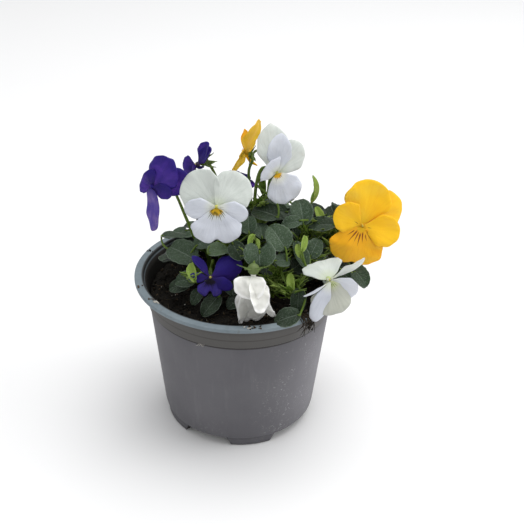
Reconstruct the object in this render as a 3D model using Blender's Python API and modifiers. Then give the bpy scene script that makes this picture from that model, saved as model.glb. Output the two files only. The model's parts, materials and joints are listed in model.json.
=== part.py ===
"""A potted horned violet: a twelve centimetre nursery pot, its soil, the leafy
stems of three young plants, and their white, yellow and purple blooms.

Tables are in millimetres in the pot's own frame: its axis is the z axis, its
feet stand on z = 0, and -Y is the front. Objects are in metres, under an empty
that stands on the pot's axis.
"""
import math
import random

import bmesh
import bpy
from mathutils import Matrix, Vector
from mathutils.bvhtree import BVHTree

MM = 0.001
SEED = 11

# Where the pot's axis stands, so that the whole plant is centred on the origin
AXIS_X = -14.8
AXIS_Y = 0.0

# Pot
POT_HEIGHT = 91.4
RIM_RADIUS = 60.0
RIM_INNER_RADIUS = 55.5
LIP_HEIGHT = 2.2
SHOULDER_RADIUS = 52.6
GROOVE_Z = 74.2
GROOVE_DEPTH = 0.7
BASE_RADIUS = 44.1
WALL = 1.5
FLOOR_Z = 5.0
FLOOR_THICKNESS = 1.8
POT_STEPS = 32
FOOT_RADIUS = 42.8
FOOT_WIDTH = 4.0
FOOT_PAIRS = 3
FOOT_SPAN = 38.0
NARROW_NOTCH = 11.0
FIRST_FOOT = -9.5
NOTCH_SLANT = 3.0
NOTCH_MARGIN = 4.0
FOOT_SINK = 0.6
DRAIN_RADIUS = 4.0
DRAIN_RING = 33.0
DRAIN_START = 60.0
DRAIN_SIDES = 8
INNER_FILLET = (1.5, 2.0)
RIM_ROUND = 0.7
SMOOTH_ANGLE = 40.0

# Soil
SOIL_EDGE_Z = 81.0
SOIL_CROWN = 3.0
SOIL_GAP = 0.3
SOIL_LUMP = 0.9
SOIL_STEPS = 18
SOIL_RADIUS = 51.0
SOIL_RINGS = (0, 14, 27, 40)
ROOT_DEPTH = 9.0
HOLE_GAP = 0.35
HOLE_SIDES = 6

# Stems and leaves
STEM_RADIUS = 1.25
PEDICEL_RADIUS = 0.85
PETIOLE_RADIUS = 0.75
STALK_TIP = 0.3
STALK_LEVEL = 0.5
STALK_SAG = 0.08
SINK = 1.6
COLLAR = 2.0
CLEARANCE = 1.15
LEAF_THICKNESS = 0.65
LEAF_TOOTH = 0.16
LONG_LEAF = 16.0
STIPULE_WIDTH = 0.34
STIPULE_TOOTH = 0.5
STIPULE_SPREAD = 48.0
STIPULE_SWAY = 14.0

# Leaves that a rule adds: where on the stem, how steep and how far out, how long
EXTRA_SHARE = (0.3, 0.8)
EXTRA_RISE = (10, 50)
EXTRA_REACH = (7, 16)
EXTRA_LENGTH = (11, 18)
EXTRA_PITCH = (-25, 15)
EXTRA_TURN = 20
EXTRA_WIDTH = (0.72, 0.85)
EXTRA_TRIES = 60

# Blooms
PETAL_THICKNESS = 0.62
CLAW = 0.16
LOWER_CLAW = 0.34
PETAL_SEAT = -1.6
HUB_RADIUS = 2.0
HUB_Z = -2.2
CALYX = (0.0, 0.0, -5.0)
SEPAL_ROOT = 1.7
SEPALS = (8.5, 1.2)
SEPAL_THICKNESS = 0.9
SEPAL_COUNT = 5
SPUR = ((0.0, -1.2, -2.0), (0.0, -4.4, -6.0), (0.0, -4.9, -10.5))
ARC = ((0.0, 1.2, -8.0), (0.0, 1.8, -4.0))
SPUR_RADII = (1.0, 0.85, 0.6)

COLOURS = {
    "white": (0.86, 0.87, 0.88, 1.0),
    "yellow": (0.86, 0.48, 0.03, 1.0),
    "purple": (0.05, 0.02, 0.22, 1.0),
    "green": (0.07, 0.13, 0.06, 1.0),
    "soil": (0.02, 0.014, 0.01, 1.0),
    "grey": (0.12, 0.12, 0.13, 1.0),
}


def petal(angle, length, width, tilt=0.0, twist=0.0, arch=0.0, cup=0.0, layer=0.0,
          notch=0.0, ruffle=0.0, claw=CLAW):
    """One petal: its clock angle seen from the front, its size, and its pose."""
    return {"angle": angle, "length": length, "width": width, "tilt": tilt,
            "twist": twist, "arch": arch, "cup": cup, "layer": layer,
            "notch": notch, "ruffle": ruffle, "claw": LOWER_CLAW if notch else claw}


# Blooms: the throat's place, where the face looks, and the five petals
BLOOMS = {
    "white_front": {
        "colour": "white", "eye": (-13, -22, 143), "face": (-93, 22), "roll": 2,
        "petals": (
            petal(46, 24, 22, tilt=-6, layer=-0.9, cup=1.5, arch=10),
            petal(-45, 23, 21, tilt=-8, layer=-0.5, cup=1.5, arch=10),
            petal(80, 18.5, 9.5, tilt=6, layer=0.3, arch=14),
            petal(-97, 17, 10, tilt=6, layer=0.4, arch=14),
            petal(180, 19.5, 27, tilt=4, layer=1.0, notch=3, arch=18, ruffle=0.5))},
    "purple_left": {
        "colour": "purple", "eye": (-47.5, -8, 147.5), "face": (-122, 2), "roll": 0,
        "sepals": (7.5, 4.0),
        "petals": (
            petal(-37, 21.5, 15, tilt=2, layer=-0.9, cup=-2, arch=14),
            petal(-75, 19.5, 17, tilt=-26, layer=-0.5, cup=-2, arch=14),
            petal(52, 9.5, 15, tilt=10, layer=0.3, arch=10, claw=LOWER_CLAW),
            petal(-96, 11, 10, tilt=-4, layer=0.4, arch=10),
            petal(186, 24, 9.5, tilt=2, layer=1.0, arch=-6, ruffle=0.6, claw=LOWER_CLAW))},
    "purple_back": {
        "colour": "purple", "eye": (-25, 16, 149.3), "face": (-152, -6), "roll": -8,
        "sepals": (5.0, 7.0), "spur": 0.6, "arc": ((0, 0.5, -3.2), (0, 0.7, -1.6)),
        "petals": (
            petal(8, 13, 11, tilt=-32, layer=-0.9, cup=2, arch=-6),
            petal(-12, 12.5, 10, tilt=-36, layer=-0.5, cup=2, arch=-6),
            petal(123, 10.5, 12, tilt=28, layer=0.3),
            petal(-95, 9, 9, tilt=50, layer=0.4),
            petal(180, 13, 14, tilt=20, layer=1.0, notch=1, arch=-10))},
    "yellow_top": {
        "colour": "yellow", "eye": (1, 20, 157.3), "face": (148, 10), "roll": 0,
        "arc": ((2.6, -2.0, -3.0), (1.6, -0.8, -1.6)),
        "petals": (
            petal(6, 19.5, 11, tilt=-4, layer=-0.9, cup=1),
            petal(0, 11, 5, tilt=16, layer=-0.5, cup=1),
            petal(84, 11, 8, tilt=6, layer=0.3),
            petal(-84, 6, 6, tilt=-4, layer=0.4),
            petal(-178, 15.5, 8, tilt=16, layer=1.0, claw=LOWER_CLAW))},
    "white_top": {
        "colour": "white", "eye": (19, 0, 153), "face": (-84, 18), "roll": 0,
        "petals": (
            petal(4, 25.5, 18, tilt=-16, layer=-1.1, cup=2, arch=-10),
            petal(-8, 21, 13.5, tilt=4, layer=-0.2, cup=2, arch=-10),
            petal(61, 13.5, 10.5, tilt=44, layer=0.5, arch=-10, claw=LOWER_CLAW),
            petal(-43, 20.5, 15, tilt=-2, layer=-0.6, arch=8, claw=LOWER_CLAW),
            petal(-153, 18, 19.5, tilt=2, layer=1.0, notch=1, arch=14, ruffle=0.4))},
    "yellow_right": {
        "colour": "yellow", "eye": (66, -13, 128), "face": (-80, 18), "roll": 0,
        "petals": (
            petal(-16, 25.5, 27, tilt=-4, layer=-0.6, cup=2, arch=-12, ruffle=0.5),
            petal(-65, 28.5, 23, tilt=-14, layer=-1.2, cup=1, arch=4, ruffle=0.5),
            petal(54, 18, 17.5, tilt=10, layer=0.3, cup=1, arch=8),
            petal(-105, 21.5, 18, tilt=8, layer=0.4, cup=1, arch=8),
            petal(163, 22, 31, tilt=6, layer=1.0, notch=2, arch=22, ruffle=0.8, claw=LOWER_CLAW))},
    "white_low": {
        "colour": "white", "eye": (47, -42, 111), "face": (-74, 2), "roll": 0,
        "sepals": (2.2, 3.2), "arc": ((0, -1.8, -8), (0, -2.7, -4)),
        "petals": (
            petal(14, 18.5, 22, tilt=-54, layer=0.1, cup=1, arch=60),
            petal(-79, 24, 10, tilt=-10, twist=36, layer=0.3, arch=10),
            petal(152, 21, 10, tilt=8, twist=20, layer=0.6, arch=10, claw=LOWER_CLAW),
            petal(-122, 18, 13, tilt=4, layer=0.4, cup=2, arch=-6),
            petal(-172, 18.5, 23, tilt=12, layer=1.0, notch=0.5, cup=-3, arch=-20))},
    "white_wilted": {
        "colour": "white", "eye": (8, -42, 112), "face": (-92, -66), "roll": 180,
        "spur": 0.5,
        "petals": (
            petal(-118, 17, 18, tilt=36, layer=-0.3, cup=1, arch=-60),
            petal(128, 16, 16, tilt=40, layer=0.0, cup=1, arch=-60),
            petal(-60, 29, 16, tilt=73, layer=0.3, cup=1, arch=8),
            petal(76, 24, 16, tilt=60, layer=0.4, cup=1),
            petal(0, 26, 17, tilt=66, layer=1.2, cup=1, notch=2, arch=4))},
    "purple_low": {
        "colour": "purple", "eye": (-16, -32, 106), "face": (-88, 24), "roll": 0,
        "petals": (
            petal(40, 15, 6, tilt=-10, layer=-0.9, cup=2, twist=50),
            petal(-65, 20, 14, tilt=-10, layer=-0.5, cup=-2, arch=14),
            petal(88, 12, 5.5, tilt=4, layer=0.3, arch=14),
            petal(-116, 13, 7, tilt=6, layer=0.4, arch=14),
            petal(178, 11.5, 14, tilt=-4, layer=1.0, notch=4, arch=24))},
    "purple_far": {
        "colour": "purple", "eye": (0, 36, 130), "face": (80, 20), "roll": 0,
        "petals": (
            petal(26, 12, 11, tilt=-10, layer=-0.9, cup=2),
            petal(-26, 12, 11, tilt=-10, layer=-0.5, cup=2),
            petal(95, 10, 8, tilt=4, layer=0.3),
            petal(-95, 10, 8, tilt=4, layer=0.4),
            petal(180, 11, 12, tilt=4, layer=1.0, notch=2, arch=18))},
}

# Stems: the route from the root up, the bloom that it carries, and the leaves
# that a rule adds: how many, and the sector of headings that they keep to
STEMS = {
    "purple_left": {
        "route": ((-19, 9, 98), (-25, 3, 110), (-30, 1, 124), (-36, 0, 141)),
        "bloom": "purple_left", "extra": 1, "sector": (100, 190)},
    "purple_back": {
        "route": ((-12, 20, 98), (-13, 21, 118), (-13, 20, 137)),
        "bloom": "purple_back", "extra": 2, "sector": (95, 200)},
    "white_front": {
        "route": ((-5, 1, 98), (-8, -4, 116), (-11, -8, 134)),
        "bloom": "white_front", "extra": 1, "sector": (60, 200)},
    "yellow_top": {
        "route": ((4, 17, 98), (6, 17, 118), (4.5, 17, 136), (4.2, 14.5, 148)),
        "bloom": "yellow_top", "extra": 1, "sector": (80, 140)},
    "white_top": {
        "route": ((12, 8, 98), (8, 9, 118), (8, 9, 139), (11, 10, 151)),
        "bloom": "white_top", "extra": 1, "sector": (0, 110)},
    "yellow_right": {
        "route": ((37, 0, 96), (45, 2, 106), (55, 1, 118)),
        "bloom": "yellow_right", "extra": 1, "sector": (-10, 60)},
    "white_low": {
        "route": ((30, -13, 92), (36, -20, 100), (41, -28, 108)),
        "bloom": "white_low", "extra": 0, "sector": (-50, 0)},
    "white_wilted": {
        "route": ((7, -11, 94), (8, -20, 108), (8, -30, 116)),
        "bloom": "white_wilted", "extra": 0, "sector": (-150, -90)},
    "purple_low": {
        "route": ((-15, -8, 92), (-15, -14, 102), (-15, -20, 110)),
        "bloom": "purple_low", "extra": 0, "sector": (150, 200)},
    "purple_far": {
        "route": ((-1, 26, 96), (0, 22, 110), (0, 17, 124)),
        "bloom": "purple_far", "extra": 2, "sector": (40, 150)},
    "leafy_left": {
        "route": ((-24, 1, 90), (-26, -3, 97), (-28, -6, 102)),
        "bloom": None, "extra": 1, "sector": (130, 190)},
    "leafy_front": {
        "route": ((19, -16, 92), (21, -21, 102), (22, -25, 110)),
        "bloom": None, "extra": 0, "sector": (-110, -70)},
    "leafy_right": {
        "route": ((32, 8, 96), (36, 6, 110), (38, 3, 120)),
        "bloom": None, "extra": 1, "sector": (0, 80)},
    "leafy_back": {
        "route": ((28, 28, 94), (33, 33, 106), (36, 36, 116)),
        "bloom": None, "extra": 3, "sector": (10, 110)},
    "leafy_back_left": {
        "route": ((-20, 32, 92), (-24, 37, 102), (-27, 40, 110)),
        "bloom": None, "extra": 2, "sector": (100, 190)},
}


# Where each stem leaves the soil
STEM_ROOTS = {
    "purple_left": (-18, 11), "purple_back": (-12, 19), "white_front": (-4, 3),
    "yellow_top": (3, 17), "white_top": (13, 8), "yellow_right": (35, -1),
    "white_low": (28, -10), "white_wilted": (7, -8), "purple_low": (-15, -5),
    "purple_far": (-1, 28), "leafy_left": (-24, 3), "leafy_front": (18, -13),
    "leafy_right": (30, 9), "leafy_back": (26, 25), "leafy_back_left": (-18, 30),
}


def leaf(stem, share, centre, face, clock, length, width, fold=14.0, arch=30.0):
    """One leaf: the share of its stem where it leaves, its blade's place and pose."""
    return {"stem": stem, "share": share, "centre": centre, "face": face,
            "clock": clock, "length": length, "width": width, "fold": fold,
            "arch": arch}


# Leaves placed by hand, as they show from the front
LEAVES = (
    leaf("leafy_left", 0.95, (-33, -6, 108), (-100, 60), 60, 21, 17),
    leaf("leafy_left", 0.80, (-35, 13, 107), (100, 72), 75, 21, 17),
    leaf("leafy_left", 0.70, (-43, 5, 100), (-160, 50), 100, 13, 10),
    leaf("leafy_left", 0.90, (-20, -3, 113), (-90, 50), -50, 13, 10),
    leaf("leafy_left", 0.45, (-34, -18, 93), (-100, 62), 100, 13, 10),
    leaf("leafy_left", 0.55, (-30, -20, 98), (-90, 55), 95, 13, 10),
    leaf("white_front", 0.55, (-11, -17, 115), (-60, 76), -80, 17, 11),
    leaf("white_front", 0.50, (-2, -19, 115), (-90, 50), -150, 11, 10),
    leaf("white_top", 0.50, (11, -12, 125), (-80, 45), 0, 10, 9),
    leaf("white_top", 0.60, (4, -11, 128), (-110, 40), 20, 11, 10),
    leaf("white_top", 0.72, (13, -3, 132), (-90, 62), 60, 17, 14),
    leaf("leafy_front", 0.95, (20, -23, 127), (-80, 38), 25, 16, 15),
    leaf("white_wilted", 0.80, (10, -35.5, 121.5), (-90, 48), 180, 12, 17, fold=30),
    leaf("leafy_front", 0.85, (23, -29, 116), (-60, 55), -100, 11, 8),
    leaf("leafy_right", 0.95, (33, -6, 134), (-90, 40), 8, 16, 14, fold=24),
    leaf("leafy_right", 0.90, (27, -13, 130), (-90, 58), 100, 12, 8),
    leaf("leafy_right", 0.85, (44, -6, 126), (-90, 60), 84, 16, 10),
    leaf("leafy_right", 0.75, (52, 14, 121), (-70, 50), -30, 15, 11),
    leaf("leafy_right", 0.98, (46.5, 8, 137.7), (180, 50), 0, 19.5, 8, fold=50, arch=-100),
    leaf("white_low", 0.60, (34, -24, 117), (-60, 25), 8, 16, 9, fold=20),
    leaf("white_low", 0.75, (40, -19, 119), (-100, 32), -18, 12, 10),
    leaf("yellow_right", 0.45, (44, -10, 112), (-70, 50), -60, 14, 11),
    leaf("yellow_right", 0.60, (67, -15, 98), (-60, 45), -150, 15, 12),
    leaf("yellow_right", 0.50, (58, -17, 100), (-90, 45), -115, 12, 9),
    leaf("leafy_front", 0.50, (31, -39, 96), (-90, 36), 176, 15, 9),
    leaf("leafy_front", 0.35, (24.5, -52.5, 95), (-88, 60), 104, 15, 11),
    leaf("purple_low", 0.20, (-16, -33, 90), (-90, 58), 140, 15, 10),
    leaf("purple_low", 0.30, (-24, -28, 92), (-95, 50), 155, 10, 7),
    leaf("purple_low", 0.45, (-5, -27, 101), (-90, 45), -170, 14, 11),
    leaf("white_wilted", 0.25, (-2, -30, 92), (-90, 70), 120, 13, 10),
)


# How a leaf may be moved when its place is taken: out of its face, about it, round the stem
NUDGES = [(lift, turn, swing) for turn in (0, 10, -10, 22, -22) for swing in (0, 14, -14)
          for lift in (0, 1.5, -1.5, 3, -3, 4.5)]


def stipules(stem, share, azimuth, rise, count, length):
    """Lobed stipules at a joint of a stem, spread round a heading."""
    return {"stem": stem, "share": share, "azimuth": azimuth, "rise": rise,
            "count": count, "length": length}


STIPULES = (
    stipules("leafy_front", 0.62, -40, 50, 4, 14),
    stipules("leafy_left", 0.60, -150, 40, 2, 10),
    stipules("white_front", 0.52, -60, 45, 2, 10),
    stipules("white_wilted", 0.55, -60, 55, 2, 10),
    stipules("white_low", 0.45, -90, 60, 2, 11),
    stipules("leafy_right", 0.70, -50, 55, 2, 11),
    stipules("purple_left", 0.86, 60, 40, 1, 6),
    stipules("leafy_back", 0.70, 60, 50, 2, 10),
    stipules("purple_back", 0.50, 120, 50, 1, 10),
    stipules("purple_far", 0.55, 90, 50, 1, 10),
)


# Scene, collections and materials

def clear_scene():
    for obj in list(bpy.data.objects):
        bpy.data.objects.remove(obj, do_unlink=True)


def new_collection(name):
    collection = bpy.data.collections.new(name)
    bpy.context.scene.collection.children.link(collection)
    return collection


def make_material(name, colour, roughness):
    material = bpy.data.materials.new(name)
    material.use_nodes = True
    shader = material.node_tree.nodes["Principled BSDF"]
    shader.inputs["Base Color"].default_value = COLOURS[colour]
    shader.inputs["Roughness"].default_value = roughness
    shader.inputs["Metallic"].default_value = 0.0
    return material


def link_mesh(name, mesh, collection):
    obj = bpy.data.objects.new(name, mesh)
    collection.objects.link(obj)
    return obj


def mesh_of(bm, name):
    mesh = bpy.data.meshes.new(name)
    bm.to_mesh(mesh)
    bm.free()
    return mesh


def evaluated_mesh(obj):
    """The object's mesh with its modifiers, as a mesh of its own."""
    depsgraph = bpy.context.evaluated_depsgraph_get()
    return bpy.data.meshes.new_from_object(obj.evaluated_get(depsgraph))


def apply_modifiers(obj):
    mesh = evaluated_mesh(obj)
    obj.modifiers.clear()
    obj.data = mesh


def add_boolean(obj, operation, cutters):
    boolean = obj.modifiers.new(operation.lower(), "BOOLEAN")
    boolean.operation = operation
    boolean.operand_type = "COLLECTION"
    boolean.collection = cutters
    boolean.solver = "EXACT"


def join_pieces(base, pieces):
    """Unite the base with every piece of a collection and remove the pieces."""
    add_boolean(base, "UNION", pieces)
    bpy.context.view_layer.update()
    apply_modifiers(base)
    for piece in list(pieces.objects):
        bpy.data.objects.remove(piece, do_unlink=True)
    bpy.data.collections.remove(pieces)


def cut_away(base, cutters):
    """Cut a collection of hidden cutters out of the base."""
    for cutter in cutters.objects:
        cutter.hide_render = True
        cutter.display_type = "WIRE"
    add_boolean(base, "DIFFERENCE", cutters)
    bpy.context.view_layer.update()
    apply_modifiers(base)


def shade_round(obj):
    obj.data.shade_smooth()
    obj.data.set_sharp_from_angle(angle=math.radians(SMOOTH_ANGLE))


# Directions and frames

def heading(azimuth, elevation):
    """Unit vector: azimuth 0 is +X, -90 is the front, elevation is upward."""
    az = math.radians(azimuth)
    el = math.radians(elevation)
    return Vector((math.cos(az) * math.cos(el), math.sin(az) * math.cos(el), math.sin(el)))


def face_frame(place, azimuth, elevation, roll):
    """Frame whose z axis looks out of the face and whose y axis is its upward side."""
    out = heading(azimuth, elevation)
    up = (Vector((0, 0, 1)) - out * out.z).normalized()
    right = up.cross(out)
    turn = Matrix((right, up, out)).transposed().to_4x4()
    return Matrix.Translation(Vector(place)) @ turn @ Matrix.Rotation(math.radians(roll), 4, "Z")


def smooth_route(points, per_span):
    """Points of a smooth curve through the given points."""
    points = [Vector(point) for point in points]
    before = points[0] * 2 - points[1]
    after = points[-1] * 2 - points[-2]
    chain = [before, *points, after]
    route = []
    for index in range(1, len(chain) - 2):
        a, b, c, d = chain[index - 1:index + 3]
        for step in range(per_span):
            t = step / per_span
            route.append(0.5 * ((2 * b) + (c - a) * t + (2 * a - 5 * b + 4 * c - d) * t * t
                                + (3 * b - a - 3 * c + d) * t * t * t))
    route.append(points[-1])
    return route


def point_on(route, share):
    """The point at a share of a route's length, and the direction there."""
    lengths = [(b - a).length for a, b in zip(route, route[1:])]
    target = share * sum(lengths)
    for start, end, length in zip(route, route[1:], lengths):
        if target <= length:
            return start.lerp(end, target / length), (end - start).normalized()
        target -= length
    return route[-1], (route[-1] - route[-2]).normalized()


# Tubes

def make_tube(name, route, radii, collection, resolution=1):
    """A tube with filled caps along a route, thick as the radii say."""
    curve = bpy.data.curves.new(name, "CURVE")
    curve.dimensions = "3D"
    curve.bevel_depth = MM
    curve.bevel_resolution = resolution
    curve.use_fill_caps = True
    spline = curve.splines.new("POLY")
    spline.points.add(len(route) - 1)
    for index, (point, place) in enumerate(zip(spline.points, route)):
        share = index / (len(route) - 1) * (len(radii) - 1)
        low = min(int(share), len(radii) - 2)
        point.co = (*(Vector(place) * MM), 1.0)
        point.radius = radii[low] + (radii[low + 1] - radii[low]) * (share - low)
    guide = link_mesh(name + "_guide", curve, collection)
    bpy.context.view_layer.update()
    mesh = evaluated_mesh(guide)
    bpy.data.objects.remove(guide, do_unlink=True)
    bm = bmesh.new()
    bm.from_mesh(mesh)
    bmesh.ops.remove_doubles(bm, verts=bm.verts, dist=0.00001)
    bm.to_mesh(mesh)
    bm.free()
    return link_mesh(name, mesh, collection)


# Blades

def ease(value):
    """Smooth step from 0 to 1."""
    value = min(max(value, 0.0), 1.0)
    return value * value * (3 - 2 * value)


def bend(x, y, z, length, arch):
    """Bend a blade that lies along +Y into an arc, its tip away from +Z."""
    angle = math.radians(arch)
    if abs(angle) < 0.01:
        return Vector((x, y, z))
    radius = length / angle
    turn = y / radius
    return Vector((x, (radius + z) * math.sin(turn), (radius + z) * math.cos(turn) - radius))


def petal_point(u, v, shape):
    """Map a square, u across and v along, on to a petal with a narrow claw."""
    across = u * math.sqrt(1 - v * v / 2)
    along = v * math.sqrt(1 - u * u / 2)
    share = (along + 1) / 2
    half = shape["width"] / 2
    x = across * half * (shape["claw"] + (1 - shape["claw"]) * ease(share / 0.5))
    y = share * shape["length"]
    y -= shape["notch"] * math.exp(-(across / 0.22) ** 2) * ease((share - 0.4) / 0.6)
    edge = min(across * across + along * along, 1.0)
    wave = math.sin(5 * math.atan2(across, along + 0.001) + 0.6)
    z = shape["cup"] * (x / half) ** 2 + shape["ruffle"] * wave * edge * ease(share / 0.5)
    return bend(x, y, z, shape["length"], shape["arch"])


def leaf_outline(share):
    """Half width of an ovate leaf, as a share of the widest place."""
    return max(math.sin(math.pi * min(share, 0.999) ** 0.78) ** 0.6, 0.14)


def lance_outline(share):
    """Half width of a narrow pointed lobe."""
    return max(math.sin(math.pi * min(share + 0.12, 0.999) ** 0.9) ** 0.8, 0.16)


def blade_point(u, v, shape, outline, tooth):
    """Map a square, u across and v along, on to a folded and arched blade."""
    share = (v + 1) / 2
    half = shape["width"] / 2 * outline(share) * (1 - tooth * abs(u))
    fold = math.radians(shape["fold"])
    return bend(u * half * math.cos(fold), share * shape["length"],
                abs(u) * half * math.sin(fold), shape["length"], shape["arch"])


def petal_surface(shape):
    """A petal's middle surface; a notched one has a line of points down its middle."""
    bm = bmesh.new()
    columns = 4 if shape["notch"] else 3
    bmesh.ops.create_grid(bm, x_segments=columns, y_segments=3, size=1.0)
    for vert in bm.verts:
        vert.co = petal_point(vert.co.x, vert.co.y, shape) * MM
    bmesh.ops.triangulate(bm, faces=bm.faces)
    return bm


def strip_surface(shape, outline, rows, columns, teeth):
    """A blade of cross lines; every other line is pulled in to cut the edge."""
    bm = bmesh.new()
    bmesh.ops.create_grid(bm, x_segments=columns, y_segments=rows, size=1.0)
    for vert in bm.verts:
        line = round((vert.co.y + 1) / 2 * rows)
        tooth = teeth if line % 2 else 0.0
        vert.co = blade_point(vert.co.x, vert.co.y, shape, outline, tooth) * MM
    bmesh.ops.triangulate(bm, faces=bm.faces)
    return bm


def thicken(obj, thickness):
    solid = obj.modifiers.new("thickness", "SOLIDIFY")
    solid.thickness = thickness * MM
    solid.offset = 0.0


def add_blade(name, bm, matrix, thickness, collection):
    """A blade as an object of its own, thickened about its middle surface."""
    bm.transform(scaled(matrix))
    obj = link_mesh(name, mesh_of(bm, name), collection)
    thicken(obj, thickness)
    return obj


def scaled(matrix):
    """A frame in millimetres as one in metres."""
    result = matrix.copy()
    result.translation = matrix.translation * MM
    return result


# Room between nodes

PLACED = []


class Room:
    """The space that one piece takes, for keeping other nodes clear of it."""

    def __init__(self, node, bm, blade=False):
        self.node = node
        self.blade = blade
        self.tree = BVHTree.FromBMesh(bm)
        middles = [face.calc_center_median() for face in bm.faces]
        self.points = [vert.co.copy() for vert in bm.verts] + middles
        self.low = Vector([min(p[axis] for p in self.points) for axis in range(3)])
        self.high = Vector([max(p[axis] for p in self.points) for axis in range(3)])

    def touches(self, other):
        gap = CLEARANCE * MM
        if any(self.low[k] - gap > other.high[k] or other.low[k] - gap > self.high[k]
               for k in range(3)):
            return False
        if self.tree.overlap(other.tree):
            return True
        if any(other.tree.find_nearest(point, gap)[0] for point in self.points):
            return True
        return any(self.tree.find_nearest(point, gap)[0] for point in other.points)


def is_clear(rooms):
    """Whether rooms touch no other node, and no blade of their own stem."""
    for room in rooms:
        for other in PLACED:
            own = room.node == other.node and not (room.blade and other.blade)
            if not own and room.touches(other):
                return False
    return True


def route_room(node, route, radius):
    """A tube's room: three crossed ribbons along its route."""
    bm = bmesh.new()
    for side in (Vector((1, 0, 0)), Vector((0, 1, 0)), Vector((0, 0, 1))):
        rails = [[bm.verts.new((Vector(p) + side * radius * sign) * MM) for p in route]
                 for sign in (-1, 1)]
        for index in range(len(route) - 1):
            corners = (rails[0][index], rails[0][index + 1], rails[1][index + 1], rails[1][index])
            bm.faces.new(corners)
    room = Room(node, bm)
    bm.free()
    return room


def object_room(node, obj):
    """A made object's room, from its mesh before it is thickened."""
    bm = bmesh.new()
    bm.from_mesh(obj.data)
    bm.transform(obj.matrix_world)
    room = Room(node, bm)
    bm.free()
    return room


# Pot

def pot_profile():
    """The pot's half section, from the inner floor over the rim to the underside."""
    lip_z = POT_HEIGHT - LIP_HEIGHT
    slope = (SHOULDER_RADIUS - BASE_RADIUS) / (GROOVE_Z - FLOOR_Z)
    under_lip = SHOULDER_RADIUS + slope * (lip_z - GROOVE_Z)
    body_top = SHOULDER_RADIUS - GROOVE_DEPTH
    floor_top = FLOOR_Z + FLOOR_THICKNESS
    return (
        (0.0, floor_top),
        (BASE_RADIUS - WALL - INNER_FILLET[0], floor_top),
        (BASE_RADIUS - WALL, floor_top + INNER_FILLET[1]),
        (under_lip - WALL, lip_z - 3.0),
        (RIM_INNER_RADIUS - RIM_ROUND, POT_HEIGHT - RIM_ROUND),
        (RIM_INNER_RADIUS + 0.2, POT_HEIGHT),
        (RIM_RADIUS - RIM_ROUND, POT_HEIGHT),
        (RIM_RADIUS, POT_HEIGHT - RIM_ROUND),
        (RIM_RADIUS, lip_z),
        (RIM_RADIUS - RIM_ROUND, lip_z - 0.4),
        (under_lip + 0.3, lip_z),
        (SHOULDER_RADIUS, GROOVE_Z + 0.3),
        (body_top, GROOVE_Z - 0.4),
        (BASE_RADIUS, FLOOR_Z + 1.4),
        (BASE_RADIUS - 1.2, FLOOR_Z),
        (0.0, FLOOR_Z),
    )


def lathe(name, profile, steps, collection):
    """Turn a half section about the z axis into a closed solid."""
    bm = bmesh.new()
    verts = [bm.verts.new((radius * MM, 0.0, z * MM)) for radius, z in profile]
    for start, end in zip(verts, verts[1:]):
        bm.edges.new((start, end))
    if profile[0][0] > 0:
        bm.edges.new((verts[-1], verts[0]))
    obj = link_mesh(name, mesh_of(bm, name), collection)
    screw = obj.modifiers.new("turn", "SCREW")
    screw.steps = steps
    screw.render_steps = steps
    screw.use_merge_vertices = True
    screw.merge_threshold = 0.00001
    apply_modifiers(obj)
    return obj


def notch_cutter(middle, span, collection):
    """A wedge that opens a gap between two feet, wider towards the ground."""
    bm = bmesh.new()
    bmesh.ops.create_cube(bm, size=1.0)
    half = math.radians(span / 2)
    inner = FOOT_RADIUS - FOOT_WIDTH - NOTCH_MARGIN
    outer = FOOT_RADIUS + NOTCH_MARGIN
    for vert in bm.verts:
        radius = outer if vert.co.y > 0 else inner
        side = 1 if vert.co.x > 0 else -1
        low = vert.co.z < 0
        reach = radius * math.tan(half) + (NOTCH_SLANT if low else 0.0)
        vert.co = Vector((side * reach, radius, -1.0 if low else FLOOR_Z - 0.05)) * MM
    bm.transform(Matrix.Rotation(math.radians(middle) + math.pi, 4, "Z"))
    return link_mesh("notch_cutter", mesh_of(bm, "notch_cutter"), collection)


def make_feet(collection):
    """A ring under the pot, cut into three pairs of feet."""
    inner = FOOT_RADIUS - FOOT_WIDTH
    top = FLOOR_Z + FOOT_SINK
    profile = ((FOOT_RADIUS + FOOT_SINK, top), (FOOT_RADIUS, 0.0), (inner, 0.0), (inner, top))
    ring = lathe("feet", profile, POT_STEPS, collection)
    cutters = new_collection("foot_cutters")
    period = 360.0 / FOOT_PAIRS
    wide_notch = period - 2 * FOOT_SPAN - NARROW_NOTCH
    for index in range(FOOT_PAIRS):
        start = FIRST_FOOT + index * period + FOOT_SPAN
        notch_cutter(start + NARROW_NOTCH / 2, NARROW_NOTCH, cutters)
        notch_cutter(start - FOOT_SPAN - wide_notch / 2, wide_notch, cutters)
    cut_away(ring, cutters)
    return ring


def make_pot(collection):
    pot = lathe("pot", pot_profile(), POT_STEPS, collection)
    feet = new_collection("feet_pieces")
    make_feet(feet)
    join_pieces(pot, feet)
    drains = new_collection("drain_cutters")
    for index in range(FOOT_PAIRS):
        angle = math.radians(index * 360.0 / FOOT_PAIRS + DRAIN_START)
        bm = bmesh.new()
        bmesh.ops.create_cone(bm, cap_ends=True, segments=DRAIN_SIDES,
                              radius1=DRAIN_RADIUS * MM, radius2=DRAIN_RADIUS * MM,
                              depth=3 * FLOOR_THICKNESS * MM)
        place = Vector((math.cos(angle) * DRAIN_RING, math.sin(angle) * DRAIN_RING,
                        FLOOR_Z + FLOOR_THICKNESS / 2))
        bm.transform(Matrix.Translation(place * MM))
        link_mesh("drain_cutter", mesh_of(bm, "drain_cutter"), drains)
    cut_away(pot, drains)
    shade_round(pot)
    return pot


# Soil

def soil_height(x, y):
    """Height of the soil's mean surface."""
    return SOIL_EDGE_Z + SOIL_CROWN * (1 - (x * x + y * y) / SOIL_RADIUS ** 2)


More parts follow.
